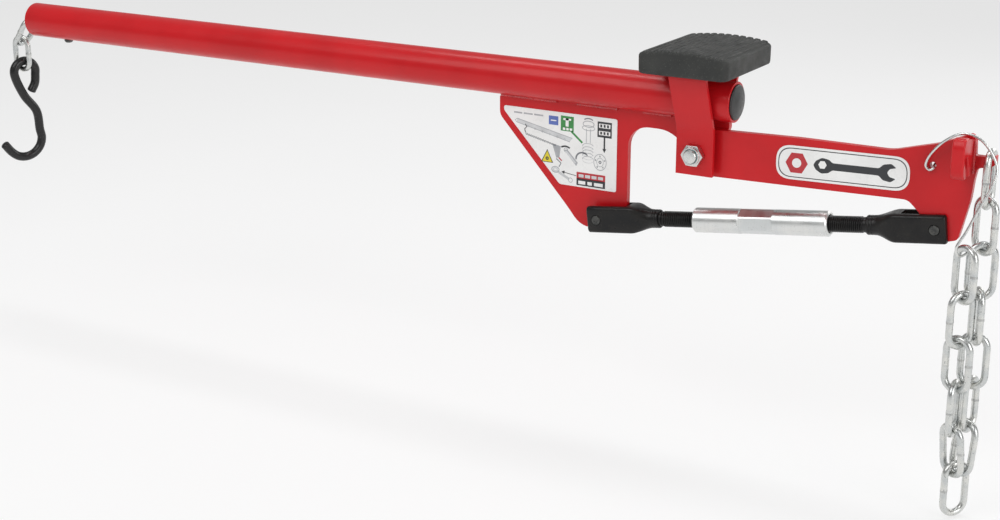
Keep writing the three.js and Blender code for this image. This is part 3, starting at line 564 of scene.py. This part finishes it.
def pad_shape():
    middles = [(i - (RIBS - 1) / 2) * PITCH for i in range(RIBS)]
    steps = {-3.45: 0.0, -3.1: 0.28, -2.8: 0.74, -2.45: 0.97, -1.6: 1.0, 0.0: 1.0,
             1.6: 1.0, 2.45: 0.97, 2.8: 0.74, 3.1: 0.28, 3.45: 0.0}
    relief = {}
    for middle in middles:
        for offset, share in steps.items():
            relief[round(middle + offset, 3)] = share
    last = middles[-1] + 3.45
    for k in range(1, 9):
        spot = last + (A - last) * (1 - (1 - k / 8) ** 1.6)
        relief[round(spot, 3)] = relief[round(-spot, 3)] = 0.0
    xs = sorted(relief)
    ys = [B * math.sin(math.pi / 2 * (j / 22)) for j in range(23)]
    ys = sorted({round(s * y, 3) for y in ys for s in (-1, 1)})

    def spot(x, y):
        """The corner of the grid pulled in to a round corner, and its distance from the edge."""
        dx, dy = abs(x) - (A - CORNER), abs(y) - (B - CORNER)
        inside = min(A - abs(x), B - abs(y))
        if dx > 0 and dy > 0:
            reach = max(dx, dy) / math.hypot(dx, dy)
            dx, dy = dx * reach, dy * reach
            inside = CORNER - math.hypot(dx, dy)
            return (math.copysign(A - CORNER + dx, x), math.copysign(B - CORNER + dy, y), inside)
        return x, y, inside

    verts, index = [], {}
    for i, x in enumerate(xs):
        for j, y in enumerate(ys):
            px, py, inside = spot(x, y)
            share = relief[x] * min(1.0, max(0.0, inside) / 0.9 + 0.35)
            z = pad_high.z - CROWN * (px / A) ** 2 - RISE * (1 - share)
            if inside < ROUND:
                z -= ROUND - math.sqrt(max(0.0, ROUND ** 2 - (ROUND - inside) ** 2))
            z += 0.10 * noise(Vector((px, py, 3)) * 0.09)
            index[i, j] = len(verts)
            verts.append((px, py, min(z, pad_high.z)))
    nx, ny = len(xs), len(ys)
    faces = [(index[i, j], index[i + 1, j], index[i + 1, j + 1], index[i, j + 1])
             for i in range(nx - 1) for j in range(ny - 1)]
    border = [index[i, 0] for i in range(nx)] + [index[nx - 1, j] for j in range(1, ny)]
    border += [index[i, ny - 1] for i in range(nx - 2, -1, -1)] + [index[0, j] for j in range(ny - 2, 0, -1)]
    base = pad_low.z
    loops = [border]
    for share, inset in ((0.93, 0.0), (0.55, 0.05), (0.22, 0.15), (0.08, 0.5), (0.02, 1.2), (0.0, 2.0)):
        loop = []
        for k in border:
            x, y, z = verts[k]
            loop.append(len(verts))
            verts.append((x * (A - inset) / A, y * (B - inset) / B, base + (z - base) * share))
        loops.append(loop)
    for upper, lower in zip(loops, loops[1:]):
        n = len(upper)
        faces += [(upper[k], upper[(k + 1) % n], lower[(k + 1) % n], lower[k]) for k in range(n)]
    faces.append(tuple(loops[-1]))
    return verts, faces


pad = made("ribbed_pad", Solid().add(pad_shape()), [RUBBER], sharp=50)
stands_for(pad, "fulcrum_pad")
for side in ("near", "far"):
    low, high = box(f"pad_screw_{side}")
    radius = (high.x - low.x) / 2
    part = Solid()
    part.add(turned(rounded([
        (low.z + 2.2, 0), (low.z + 2.0, 2.2, 0.1), (low.z, 2.5, 0.3), (low.z, 4.0, 0.8),
        (low.z + 2.0, radius, 1.2), (low.z + 3.6, radius, 0.3), (low.z + 3.6, 3.0), (high.z, 3.0),
        (high.z, 0)], 0.3, 4, closed=False), 40), frame_of((0, (low.y + high.y) / 2, 0), (0, 0, 1)))
    stands_for(made(f"pad_screw_{side}_button", part, [ZINC]), f"pad_screw_{side}")

# ---------------------------------------------------------------- pivot bolt, nut, spacers, pins
pivot = joint_at("arm_pivot")
across = frame_of((pivot.x, 0, pivot.z), (0, 1, 0), (0, 0, 1))
FLATS = 24.0
bolt_low, bolt_high = box("pivot_bolt")
bolt = Solid()
bolt.add(hexed(bolt_high.y - 10, bolt_high.y, FLATS), across)
bolt.add(disc(bolt_low.y + 0.05, bolt_high.y - 9, 8, 1.4), across)
bolt.add(washer(bolt_high.y - 10.35, bolt_high.y - 10, 11.4, 8.2, 0.1), across)
stands_for(made("hex_bolt", bolt, [ZINC], 30), "pivot_bolt")

nut_low, nut_high = box("pivot_nut")
nut = Solid()
nut.add(hexed(nut_low.y + 2.6, nut_high.y, FLATS, 8.1), across)
tip = nut_low.y
nut.add(turned(rounded([(tip + 3.2, 8.3), (tip + 3.2, 11.1), (tip + 0.2, 10.7, 1.2), (tip + 0.2, 9.2, 0.4),
                        (tip + 0.7, 8.9, 0.2), (tip + 0.9, 8.3)], 0.3, 3), 56, closed=True), across)
stands_for(made("lock_nut", nut, [ZINC], 30), "pivot_nut")
collar = Solid()
collar.add(washer(nut_low.y + 0.8, nut_low.y + 2.4, 8.85, 8.15, 0.2), across)
rides_with(made("lock_nut_ring", collar, [ink("nut_ring", (0.10, 0.22, 0.24))]), "pivot_nut")

for node in ("pivot_spacer_near", "pivot_spacer_far"):
    low, high = box(node)
    ring = Solid().add(washer(low.y, high.y, 15, 8.3, 0.5), across)
    stands_for(made(f"{node}_ring", ring, [ZINC]), node)

rear, front = joint_at("rear_fork_pivot"), joint_at("front_fork_pivot")
for end, place in (("rear", rear), ("front", front)):
    matrix = frame_of((place.x, 0, place.z), (0, 1, 0), (0, 0, 1))
    low, high = box(f"{end}_pin")
    r = (high.x - low.x) / 2
    half = [(low.y + 0.5, 0), (low.y + 0.55, 2.0, 0.4), (low.y, 3.1, 0.5), (low.y, r - 0.2, 0.8), (0, r)]
    other = [(-y, *rest) for y, *rest in reversed(half[:-1])]
    stands_for(made(f"{end}_clevis_pin", Solid().add(
        turned(rounded(half + other, 0.3, 3, closed=False), 48), matrix), [DARK]), f"{end}_pin")
    low, high = box(f"{end}_pin_collar")
    stands_for(made(f"{end}_washer", Solid().add(
        washer(low.y, high.y, (high.x - low.x) / 2, r + 0.3, 0.4), matrix), [ZINC]), f"{end}_pin_collar")

# ---------------------------------------------------------------- turnbuckle
DISTANCE = (front - rear).length
LINE = frame_of(rear, front - rear)
BACK = LINE @ Matrix.Translation((DISTANCE, 0, 0)) @ Matrix.Rotation(math.pi, 4, "Z")
HALF, BODY, TAPER, NECK, NECK_R = 16.5, 50.0, 22.0, 9.0, 11.5
LENGTH = BODY + TAPER + NECK


def square_ring(x, half, corner, per=7):
    """A rounded square across X, with the same count of points at any corner radius."""
    out = []
    corner = min(corner, half)
    for quarter in range(4):
        turn = math.pi / 2 * quarter
        for k in range(per):
            a = turn + math.pi / 2 * k / (per - 1)
            cx = (half - corner) * (1 if math.cos(turn + math.pi / 4) > 0 else -1)
            cy = (half - corner) * (1 if math.sin(turn + math.pi / 4) > 0 else -1)
            out.append((x, cx + corner * math.cos(a), cy + corner * math.sin(a)))
        a = out[-1]
        nxt = turn + math.pi / 2
        cx = (half - corner) * (1 if math.cos(nxt + math.pi / 4) > 0 else -1)
        cy = (half - corner) * (1 if math.sin(nxt + math.pi / 4) > 0 else -1)
        b = (x, cx + corner * math.cos(nxt), cy + corner * math.sin(nxt))
        out += [(x, a[1] + (b[1] - a[1]) * k / 3, a[2] + (b[2] - a[2]) * k / 3) for k in (1, 2)]
    return out


def fork_body():
    end = -13.0
    rings = [square_ring(end + e, HALF - i, 4.2) for e, i in ((0, 2.4), (0.35, 1.3), (1.1, 0.45), (2.4, 0.0))]
    rings += [square_ring(x, HALF, 4.2) for x in (0, 18, 36, 42)]
    for k in range(0, 13):
        t = k / 12
        ease = t * t * (3 - 2 * t)
        half = HALF + (NECK_R - HALF) * ease
        corner = 4.2 + (NECK_R - 4.2) * ease ** 0.75 if t < 1 else NECK_R
        rings.append(square_ring(46 + (BODY + TAPER - 46) * t, half, corner))
    for x, r in ((73.2, 11.5), (73.5, 11.05), (74.1, 11.05), (74.4, 11.5), (76.6, 11.5), (76.9, 11.05),
                 (77.5, 11.05), (77.8, 11.5), (LENGTH - 0.9, 11.5), (LENGTH - 0.2, 11.1), (LENGTH, 10.6)):
        rings.append(square_ring(x, r, r))
    return joined(rings)


def cutter(name, shape, place):
    obj = made(name, Solid().add(shape, place), [])
    obj.hide_render = True
    return obj


def fork(name, place, node):
    obj = made(name, Solid().add(fork_body(), place), [BLACK])
    tall = [[(x, y, 24 if z > 0 else -24) for x, y, z in (
        (-30, -9, -1), (-30, 9, -1), (-30, 9, 1), (-30, -9, 1))],
        [(x, y, 24 if z > 0 else -24) for x, y, z in ((39, -9, -1), (39, 9, -1), (39, 9, 1), (39, -9, 1))],
        [(x, y, 24 if z > 0 else -24) for x, y, z in ((40, -8, -1), (40, 8, -1), (40, 8, 1), (40, -8, 1))]]
    tools = [cutter(name + "_slot", joined(tall), place),
             cutter(name + "_bore", turned([(LENGTH - 26, 0), (LENGTH - 26, 9.5), (LENGTH + 5, 9.5),
                                            (LENGTH + 5, 0)]), place),
             cutter(name + "_hole", turned([(-30, 0), (-30, 6.25), (30, 6.25), (30, 0)], 40),
                    place @ Matrix.Rotation(math.pi / 2, 4, "Z"))]
    for tool in tools:
        cut = obj.modifiers.new("cut", "BOOLEAN")
        cut.operation, cut.solver, cut.object = "DIFFERENCE", "EXACT", tool
    with_modifiers(obj)
    for tool in tools:
        bpy.data.objects.remove(tool)
    mesh = obj.data
    mesh.shade_smooth()
    mesh.set_sharp_from_angle(angle=math.radians(34))
    obj = bevelled(obj, 0.7, 2, 40)
    while len(obj.data.materials) > 1:
        obj.data.materials.pop()
    stands_for(obj, node)
    return obj


def thread(start, end, hand, plain_from, plain_to, pitch=2.5, crest=9.7, root=8.2, sides=44):
    """A screw thread from start to end, with plain turned ends either side."""
    rings = []
    turns = [2 * math.pi * i / sides for i in range(sides)]
    stations = [start + k * pitch / 10 for k in range(int((end - start) * 10 / pitch) + 1)]
    for x in stations:
        fade = min(1.0, (x - start) / pitch, (end - x) / pitch)
        row = []
        for i in range(sides):
            phase = (x / pitch - hand * i / sides) % 1.0
            hill = abs(phase - 0.5) * 2
            share = min(1.0, max(0.0, (0.86 - hill) / 0.62))
            share = share * share * (3 - 2 * share)
            r = root + (crest - root) * share * max(0.0, fade)
            row.append((x, r * math.cos(turns[i]), r * math.sin(turns[i])))
        rings.append(row)

    def circles(*stops):
        return [[(x, r * math.cos(t), r * math.sin(t)) for t in turns] for x, r in stops]

    head = circles((plain_from, 8.2), (plain_from + 0.8, 9.0), (start - 0.4, 9.0), (start - 0.1, root))
    tail = circles((end + 0.1, root), (end + 0.4, 8.9), (plain_to - 1.0, 8.9), (plain_to, 7.9))
    return joined(head + rings + tail)


fork("rear_fork_forging", LINE, "rear_fork")
fork("front_fork_forging", BACK, "front_fork")
sleeve_from = 127.5
sleeve_to = sleeve_from + 170.0
seat = LENGTH - 25.7
stands_for(made("rear_threaded_rod", Solid().add(
    thread(LENGTH + 3.5, sleeve_from + 10, 1, seat, sleeve_from + 60), LINE), [BLACK], 60), "rear_spindle")
stands_for(made("front_threaded_rod", Solid().add(
    thread(LENGTH + 3.5, DISTANCE - sleeve_to + 10, -1, seat, DISTANCE - sleeve_to + 60), BACK), [BLACK], 60),
    "front_spindle")


def sleeve_shape(sides=96):
    """A turned sleeve with six flats round its middle, bored right through."""
    def across_at(x, turn):
        step = (turn + math.pi / 6) % (math.pi / 3) - math.pi / 6
        from_flats = max(flats[0] - x, x - flats[1], 0.0)
        return min(15.0, 13.5 / math.cos(step) + from_flats * 1.6)

    flats = (sleeve_from + 60, sleeve_from + 102)
    xs = [sleeve_from + 2.2, sleeve_from + 30, flats[0] - 2]
    xs += [flats[0] - 2 + 0.25 * k for k in range(1, 9)] + [flats[0] + 10, flats[0] + 21, flats[0] + 32]
    xs += [flats[1] + 0.25 * k for k in range(0, 9)] + [flats[1] + 30, sleeve_to - 2.2]
    turns = [2 * math.pi * i / sides for i in range(sides)]

    def ring(x, radii):
        return [(x, r * math.cos(t), r * math.sin(t)) for r, t in zip(radii, turns)]

    def even(x, r):
        return ring(x, [r] * sides)

    rings = [even(sleeve_from + 1.5, 10.7), even(sleeve_from + 0.2, 11.3), even(sleeve_from, 11.9),
             even(sleeve_from, 12.6), even(sleeve_from + 0.25, 13.2), even(sleeve_from + 1.9, 14.85)]
    rings += [ring(x, [across_at(x, t) for t in turns]) for x in xs]
    rings += [even(sleeve_to - 1.9, 14.85), even(sleeve_to - 0.25, 13.2), even(sleeve_to, 12.6),
              even(sleeve_to, 11.9), even(sleeve_to - 0.2, 11.3), even(sleeve_to - 1.5, 10.7)]
    return joined(rings, closed_along=True)


stands_for(made("turnbuckle_tube", Solid().add(sleeve_shape(), LINE), [SLEEVE], 24), "turnbuckle_sleeve")
mark = Solid()
mark.add(([(sleeve_from + 64, -2.6, 13.53), (sleeve_from + 98, -2.6, 13.53), (sleeve_from + 98, 1.8, 13.53),
           (sleeve_from + 64, 1.8, 13.53)], [(0, 1, 2, 3)]), LINE @ Matrix.Rotation(math.radians(60), 4, "X"))
rides_with(made("sleeve_mark", mark, [STRIP]), "turnbuckle_sleeve")


# ---------------------------------------------------------------- chain
def axes_of(node):
    """Where a link's CAD solid lies: its centre, its long direction and the direction across its bows."""
    points = [FROM_ROW @ v.co for v in frame["nodes"][node].data.vertices]
    centre = sum(points, Vector()) / len(points)
    spread = Matrix(((0, 0, 0), (0, 0, 0), (0, 0, 0)))
    for p in points:
        d = p - centre
        for r in range(3):
            for c in range(3):
                spread[r][c] += d[r] * d[c]

    def strongest(m, guess):
        v = Vector(guess).normalized()
        for _ in range(60):
            v = (m @ v).normalized()
        return v

    long = strongest(spread, (0.3, 0.2, 1))
    left = spread.copy()
    size = long.dot(spread @ long)
    for r in range(3):
        for c in range(3):
            left[r][c] -= size * long[r] * long[c]
    guess = (1, 0.4, 0.1) if abs(long.x) < 0.9 else (0.1, 1, 0.3)
    wide = strongest(left, guess)
    for v in (long, wide):
        ends = [v.dot(p) for p in points]
        centre += v * ((max(ends) + min(ends)) / 2 - v.dot(centre))
    return centre, long, wide


def link(name, node, wire, length, width, seam_side, finish):
    centre, long, wide = axes_of(node)
    place = frame_of(centre, long, wide)
    bow = (width - wire) / 2
    straight = (length - wire) / 2 - bow
    line, lengths = [], []
    for side in (1, -1):
        for k in range(12):
            line.append((side * (-straight + 2 * straight * k / 12), side * bow, 0))
            lengths.append(abs(-straight + 2 * straight * k / 12) if side == seam_side else 99)
        for k in range(16):
            a = math.pi / 2 - math.pi * k / 16
            line.append((side * (straight + bow * math.cos(a)), side * bow * math.sin(a), 0))
            lengths.append(99)
    radii = [wire / 2 * (1 + 0.085 * math.exp(-(d / 1.9) ** 2) - 0.02 * math.exp(-((d - 4) / 1.5) ** 2))
             for d in lengths]
    part = Solid().add(swept(line, radii, 18, closed=True, up=(0, 0, 1)), place)
    count = len(lengths)
    part.marks = [1 if lengths[i // 18 % count] < 1.6 else 0 for i in range(len(part.faces))]
    return stands_for(made(name, part, [finish, SEAM], 60), node)


names = sorted(n for n in frame["nodes"] if n.startswith("chain_link_"))
for i, node in enumerate(names):
    link(node.replace("chain_link", "welded_link"), node, 8.0, 69.0, 36.0, 1 if i % 2 else -1, CHAIN)
for i, node in enumerate(sorted(n for n in frame["nodes"] if n.startswith("tether_link_"))):
    link(node.replace("tether_link", "small_link"), node, 8.0, 56.0, 34.0, 1 if i % 2 else -1, CHAIN)

# ---------------------------------------------------------------- keeper wire
hole_x, hole_z = 279.3, -44.7
top = Vector((341, -4.5, -23))
step = 61 - 8 - 0.6
hook = Vector((top.x - 12, top.y - 22, top.z - 2 * step - 4 - 1.5 - 0.3))
turn = math.radians(150 - 90)


def along(distance, rise):
    return (hook.x + distance * math.cos(turn), hook.y + distance * math.sin(turn), hook.z + rise)


wire_points = [
    (hole_x + 3, 6, hole_z + 8), (hole_x + 1.4, 4, hole_z + 2.5), (hole_x + 0.6, -4.5, hole_z - 0.5),
    (hole_x + 1.6, -10.6, hole_z - 2.6), (hole_x - 2.4, -11.8, hole_z - 5.2),
    (hole_x - 6.6, -12.8, hole_z - 1.2), (hole_x - 5.6, -14.2, hole_z + 5),
    (hole_x - 1, -16, hole_z + 14), (hole_x + 13, -18, hole_z + 30),
    (hole_x + 32, -19, hole_z + 41), (hole_x + 50, -18, hole_z + 38), (top.x + 1.3, -17, top.z + 4.3),
    (hole_x + 72, -17, hole_z + 7), (hole_x + 70, -23, hole_z - 12), (hole_x + 61, -30, hole_z - 34),
    (hole_x + 50, -36, hole_z - 62), along(-16, 8), along(-13, 0), along(-7, -2), along(0, 0), along(10, 3)]
keeper = Solid().add(swept(through(wire_points, 9), 1.5, 12))
stands_for(made("bent_keeper_wire", keeper, [ZINC], 60), "keeper_wire")

# ---------------------------------------------------------------- S-hook
eye, bowl = (1.5, -17.5, 17), (-8, -118.5, 28)


def arc(circle, start, stop, count):
    x, z, radius = circle
    turns = [math.radians(start + (stop - start) * i / (count - 1)) for i in range(count)]
    return [(x + radius * math.cos(a), z + radius * math.sin(a)) for a in turns]


hook_line = [(eye[0] + 8, eye[1] - 29.5), (eye[0] + 14.5, eye[1] - 18), *arc(eye, -18, 198, 8),
             (eye[0] - 4.3, eye[1] - 35), (eye[0] + 13.4, eye[1] - 61.5), *arc(bowl, 22, -140, 7),
             (bowl[0] - bowl[2] - 3.5, bowl[1] - 5)]
swing = joint_at("hook_swing")
hook_place = (Matrix.Translation((swing.x, swing.y, swing.z + 6.5 + 4 + 1.8))
              @ Matrix.Rotation(math.radians(70), 4, "Z"))
shape = swept(through([(x, 0, z - eye[1] - eye[2]) for x, z in hook_line], 9), 6.5, 22)
stands_for(made("dipped_s_hook", Solid().add(shape, hook_place), [HOOK], 60), "s_hook")


# ---------------------------------------------------------------- labels
class Print:
    """Flat shapes printed on a film that faces -Y."""

    def __init__(self, film, near, far):
        self.solid, self.y, self.layers = Solid(), near, 0
        self.solid.add(flat(film, near, far))

    def shape(self, points, colour, layer=1):
        y = self.y - 0.035 * layer
        points = [tuple(p[:2]) for p in points]
        n = len(points)
        self.solid.add(([(x, y, z) for x, z in points], [tuple(range(n))]), mark=colour)

    def rect(self, x0, x1, z0, z1, colour, layer=1, soft=0.6):
        self.shape(rounded([(x0, z0), (x1, z0), (x1, z1), (x0, z1)], soft, 3), colour, layer)

    def stroke(self, points, width, colour, layer=1):
        y = self.y - 0.035 * layer
        line = [Vector(p) for p in points]
        left, right = [], []
        for i, p in enumerate(line):
            d = (line[min(i + 1, len(line) - 1)] - line[max(i - 1, 0)]).normalized()
            n = Vector((-d.y, d.x)) * width / 2
            left.append(p + n)
            right.append(p - n)
        verts = [(v.x, y, v.y) for v in left + right]
        m = len(line)
        self.solid.add((verts, [(i, i + 1, m + i + 1, m + i) for i in range(m - 1)]), mark=colour)

    def ring(self, x, z, radius, width, colour, layer=1, squash=1.0, start=0, stop=360):
        steps = 28
        points = [(x + radius * math.cos(math.radians(start + (stop - start) * k / steps)),
                   z + radius * squash * math.sin(math.radians(start + (stop - start) * k / steps)))
                  for k in range(steps + 1)]
        self.stroke(points, width, colour, layer)

    def arrow(self, a, b, width, colour, layer=1, size=2.6):
        a, b = Vector(a), Vector(b)
        d = (b - a).normalized()
        n = Vector((-d.y, d.x))
        neck = b - d * size * 1.5
        self.stroke([a, neck], width, colour, layer)
        self.shape([neck + n * size * 0.8, b, neck - n * size * 0.8], colour, layer)


low, high = box("instruction_label")
sheet = Print(rounded([(-272.5, -41.5), (-272.5, -47.5), (-192, -133), (-113, -133), (-113, -41.5)], 3, 5),
              low.y, 0.5)
for x0, x1 in ((-258, -246), (-244, -231), (-229, -216)):
    sheet.rect(x0, x1, -49.6, -47.6, GREY_INK, soft=0.4)
sheet.rect(-208, -194.5, -58.5, -47.2, BLUE_INK)
sheet.rect(-205.2, -197.3, -53.6, -52.2, WHITE_INK, 2, 0.3)
sheet.rect(-191, -172.8, -64.4, -45.4, GREEN_INK)
sheet.rect(-184.2, -180.0, -58.5, -48.2, WHITE_INK, 2, 0.3)
sheet.rect(-187.6, -176.6, -50.6, -48.2, WHITE_INK, 2, 0.3)
for x in (-188, -183.2, -178.4):
    sheet.rect(x, x + 3.4, -63.2, -60.2, WHITE_INK, 2, 0.3)
sheet.stroke([(-176, -64), (-160.5, -76.5)], 2.6, GREEN_INK)
sheet.rect(-139.8, -120.2, -66.4, -46.8, DARK_INK)
sheet.rect(-137.8, -122.2, -54.6, -49.4, WHITE_INK, 2, 0.3)
sheet.rect(-137.8, -122.2, -63.6, -58.4, WHITE_INK, 2, 0.3)
for x in (-136, -131.4, -126.8):
    sheet.rect(x, x + 2.6, -53.8, -50.2, DARK_INK, 3, 0.2)
    sheet.rect(x, x + 2.6, -62.8, -59.2, DARK_INK, 3, 0.2)
sheet.arrow((-130, -66), (-130, -85.5), 2.2, DARK_INK, size=3.4)
sheet.shape([(-218.6, -107.2), (-201.2, -107.2), (-209.9, -90.4)], DARK_INK)
sheet.shape([(-216.9, -106.3), (-202.9, -106.3), (-209.9, -92.4)], YELLOW_INK, 2)
sheet.ring(-209.9, -102.2, 1.5, 1.5, DARK_INK, 3)
sheet.rect(-168, -128, -122.6, -114.0, RED_INK)
sheet.rect(-168, -128, -131.0, -122.0, DARK_INK, 1)
for x0, x1 in ((-165.4, -155.6), (-152.6, -146.4), (-143.4, -131.2)):
    sheet.rect(x0, x1, -129.2, -125.0, WHITE_INK, 2, 0.3)
for x0, x1 in ((-165, -158), (-156, -149), (-147, -140), (-138, -131)):
    sheet.rect(x0, x1, -120.4, -116.6, PALE_INK, 2, 0.3)
sheet.arrow((-168.5, -119.4), (-189.5, -116.6), 0.9, DARK_INK, size=3.0)
sheet.stroke([(-253, -56.2), (-174.5, -72.6)], 0.9, GREY_INK)
sheet.stroke([(-254, -61.0), (-178, -77.5)], 0.9, GREY_INK)
sheet.stroke([(-254, -61.0), (-256.4, -58.4), (-253, -56.2)], 0.9, GREY_INK)
sheet.shape([(-254, -60.6), (-178, -77.0), (-174.8, -73.0), (-253, -56.6)], PALE_INK, 0.5)
for k in range(6):
    x = -238 + 10.5 * k
    sheet.ring(x, -64.4 - 0.205 * (x + 238), 1.1, 0.5, GREY_INK, 1.5)
sheet.stroke([(-241.5, -62), (-239.6, -65.4), (-242.6, -68.6), (-241, -73.2)], 1.2, DARK_INK)
for k in range(13):
    x = -239.5 + 3.35 * k
    z = -74.6 - 0.235 * (x + 239.5)
    sheet.ring(x, z, 1.35, 0.75, MID_INK, 1.5, 0.62)
sheet.shape([(-203, -82), (-190.5, -84.6), (-192.6, -99), (-197, -100)], GREY_INK)
sheet.ring(-184, -92, 9.6, 2.1, DARK_INK, 1.5, 0.86, 52, 128)
sheet.ring(-183.4, -88.4, 2.6, 0.8, GREY_INK, 1.5)
sheet.shape([(-186.5, -88.5), (-181.5, -87.5), (-166.5, -102.5), (-168.6, -107)], GREY_INK)
sheet.shape([(-185, -90), (-182, -89.2), (-169, -102.5), (-170.5, -104.5)], PALE_INK, 2)
sheet.ring(-160, -97, 9.0, 2.0, MID_INK, 1.5, 0.9, 40, 190)
for k in range(5):
    z = -79.5 - 4.1 * k
    sheet.ring(-152.5, z, 7.4, 0.7, GREY_INK, 1.5, 0.42, 10, 200)
    sheet.ring(-152.5, z - 2, 7.4, 0.5, PALE_INK, 1.2, 0.42, 190, 350)
sheet.stroke([(-155, -58), (-155, -76)], 0.8, GREY_INK)
sheet.stroke([(-149.5, -58), (-149.5, -76)], 0.8, GREY_INK)
sheet.ring(-152.2, -52, 7.6, 1.0, GREY_INK, 1.5, 0.5)
sheet.ring(-152.2, -47.8, 6.2, 1.4, MID_INK, 1.5, 0.45, 20, 160)
sheet.ring(-152.2, -57.0, 8.6, 0.8, GREY_INK, 1.5, 0.36)
sheet.ring(-135.6, -98, 8.6, 0.9, GREY_INK, 1.5, 1.18)
sheet.ring(-135.6, -98, 4.6, 0.7, GREY_INK, 1.5, 1.18)
sheet.ring(-135.6, -98, 1.4, 1.2, MID_INK, 1.5)
for k in range(5):
    a = math.radians(72 * k + 20)
    sheet.ring(-135.6 + 6.6 * math.cos(a), -98 + 7.6 * math.sin(a), 0.7, 0.6, MID_INK, 1.5)
sheet.stroke([(-197, -101), (-190, -106), (-193, -111)], 1.3, MID_INK)
sheet.stroke([(-193.5, -99), (-189, -103)], 1.6, RED_INK)
sheet.ring(-198, -115, 5.2, 1.1, GREY_INK, 1.5, 0.72)
sheet.ring(-198, -115, 2.9, 2.0, PALE_INK, 1.5, 0.72)
sheet.stroke([(-196.5, -116.4), (-178.5, -125)], 3.4, PALE_INK)
sheet.ring(-176.5, -126, 2.8, 0.8, GREY_INK, 1.5)
stands_for(made("pictogram_label", sheet.solid, INKS, 20), "instruction_label")

low, high = box("arm_label")
badge_corners = [(97, -83.5, 1, 1), (255, -79, -1, 1), (254, -40, -1, -1), (97, -43.5, 1, -1)]


def badge(inset, radius):
    """The badge's outline, moved in by inset."""
    return rounded([(x + dx * inset, z + dz * inset) for x, z, dx, dz in badge_corners], radius, 10)


decal = Print(badge(0, 18), low.y, arm_low.y)
decal.shape(badge(2.6, 16.4), DARK_INK, 1)
decal.shape(badge(3.7, 15.8), WHITE_INK, 2)
slope = 4.0 / 158


def tilted(points, x, z):
    return [(x + px, z + pz + slope * px) for px, pz in points]


def polygon(radius, sides=6):
    turns = [2 * math.pi * k / sides for k in range(sides)]
    return [(radius * math.cos(t), radius * math.sin(t)) for t in turns]


decal.shape(tilted(polygon(13.5), 122, -63), RED_INK, 3)
decal.shape(tilted(rounded(polygon(5.6, 18), 0.2, 2), 122, -63), WHITE_INK, 4)
upper = [(-47, 5.2), (-40, 9.2), (-32, 8.0), (-27, 4.2),
         (27, 4.2), (32, 9.0), (41, 10.6), (47, 6.2), (39.5, 4.6)]
spanner = upper + [(36.5, 0)] + [(x, -z) for x, z in upper[::-1]] + [(-50, 0)]
decal.shape(tilted(rounded(spanner, 1.8, 4), 192, -61.2), DARK_INK, 3)
decal.shape(tilted(polygon(5.0), 192 - 39, -61.2), WHITE_INK, 4)
stands_for(made("arm_badge", decal.solid, INKS, 20), "arm_label")

# ---------------------------------------------------------------- floor, light, camera
low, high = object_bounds()
floor_z = low.z - 0.0015


def floor():
    """A pale sweep: flat under the object and curving up far behind it."""
    rows = []
    for k in range(41):
        a = k / 40
        if a < 0.5:
            rows.append((-9 + 26 * a * 2, 0.0))
        else:
            t = (a - 0.5) * 2 * math.pi / 2
            rows.append((17 + 6 * math.sin(t), 6 * (1 - math.cos(t))))
    verts = [(x, y, floor_z + z) for y, z in rows for x in (-22, -8, 8, 22)]
    faces = [(4 * r + c, 4 * r + c + 1, 4 * r + c + 5, 4 * r + c + 4) for r in range(40) for c in range(3)]
    mesh = bpy.data.meshes.new("floor")
    mesh.from_pydata(verts, [], faces)
    paper = material("floor_paper", (0.34, 0.34, 0.34), (0.33, 0.33, 0.33), 0.85, mottle=1.2,
                     spread=0.03, grain=300, bump=0.02, specular=0.1)
    shader = next(n for n in paper.node_tree.nodes if n.type == "BSDF_PRINCIPLED")
    shader.inputs["Emission Color"].default_value = (1, 1, 1, 1)
    shader.inputs["Emission Strength"].default_value = 0.62
    mesh.materials.append(paper)
    mesh.shade_smooth()
    obj = bpy.data.objects.new("floor", mesh)
    SCENE.collection.objects.link(obj)


floor()


def lamp(name, place, target, size, power, tall=None, colour=(1, 1, 1)):
    data = bpy.data.lights.new(name, "AREA")
    data.energy, data.color, data.size = power, colour, size
    if tall:
        data.shape, data.size_y = "RECTANGLE", tall
    obj = bpy.data.objects.new(name, data)
    SCENE.collection.objects.link(obj)
    obj.location = place
    obj.rotation_mode = "QUATERNION"
    obj.rotation_quaternion = (Vector(target) - Vector(place)).to_track_quat("-Z", "Y")


middle = (-0.3, 0, -0.15)
lamp("key", (-1.0, -2.1, 2.0), middle, 2.4, 36, 1.8)
lamp("fill", (2.4, -0.9, 0.7), (0.1, 0, -0.2), 1.6, 26, 1.6)
lamp("top", (-0.3, 0.5, 2.2), middle, 3.0, 26, 0.6)
lamp("back", (0.8, 2.2, 0.7), middle, 1.6, 10, 0.8)
world = bpy.data.worlds.new("studio")
world.use_nodes = True
world.node_tree.nodes["Background"].inputs["Color"].default_value = (1, 1, 1, 1)
world.node_tree.nodes["Background"].inputs["Strength"].default_value = 0.34
SCENE.world = world
SCENE.view_settings.view_transform = "Standard"

camera_data = bpy.data.cameras.new("camera")
camera_data.lens, camera_data.sensor_width = 61.92, 36.0
camera_data.clip_start, camera_data.clip_end = 0.01, 100
camera = bpy.data.objects.new("camera", camera_data)
SCENE.collection.objects.link(camera)
camera.location = (0.8084, -1.8230, 0.3624)
camera.rotation_mode = "QUATERNION"
camera.rotation_quaternion = (Vector((-0.2786, 0, -0.3102)) - camera.location).to_track_quat("-Z", "Y")
SCENE.camera = camera
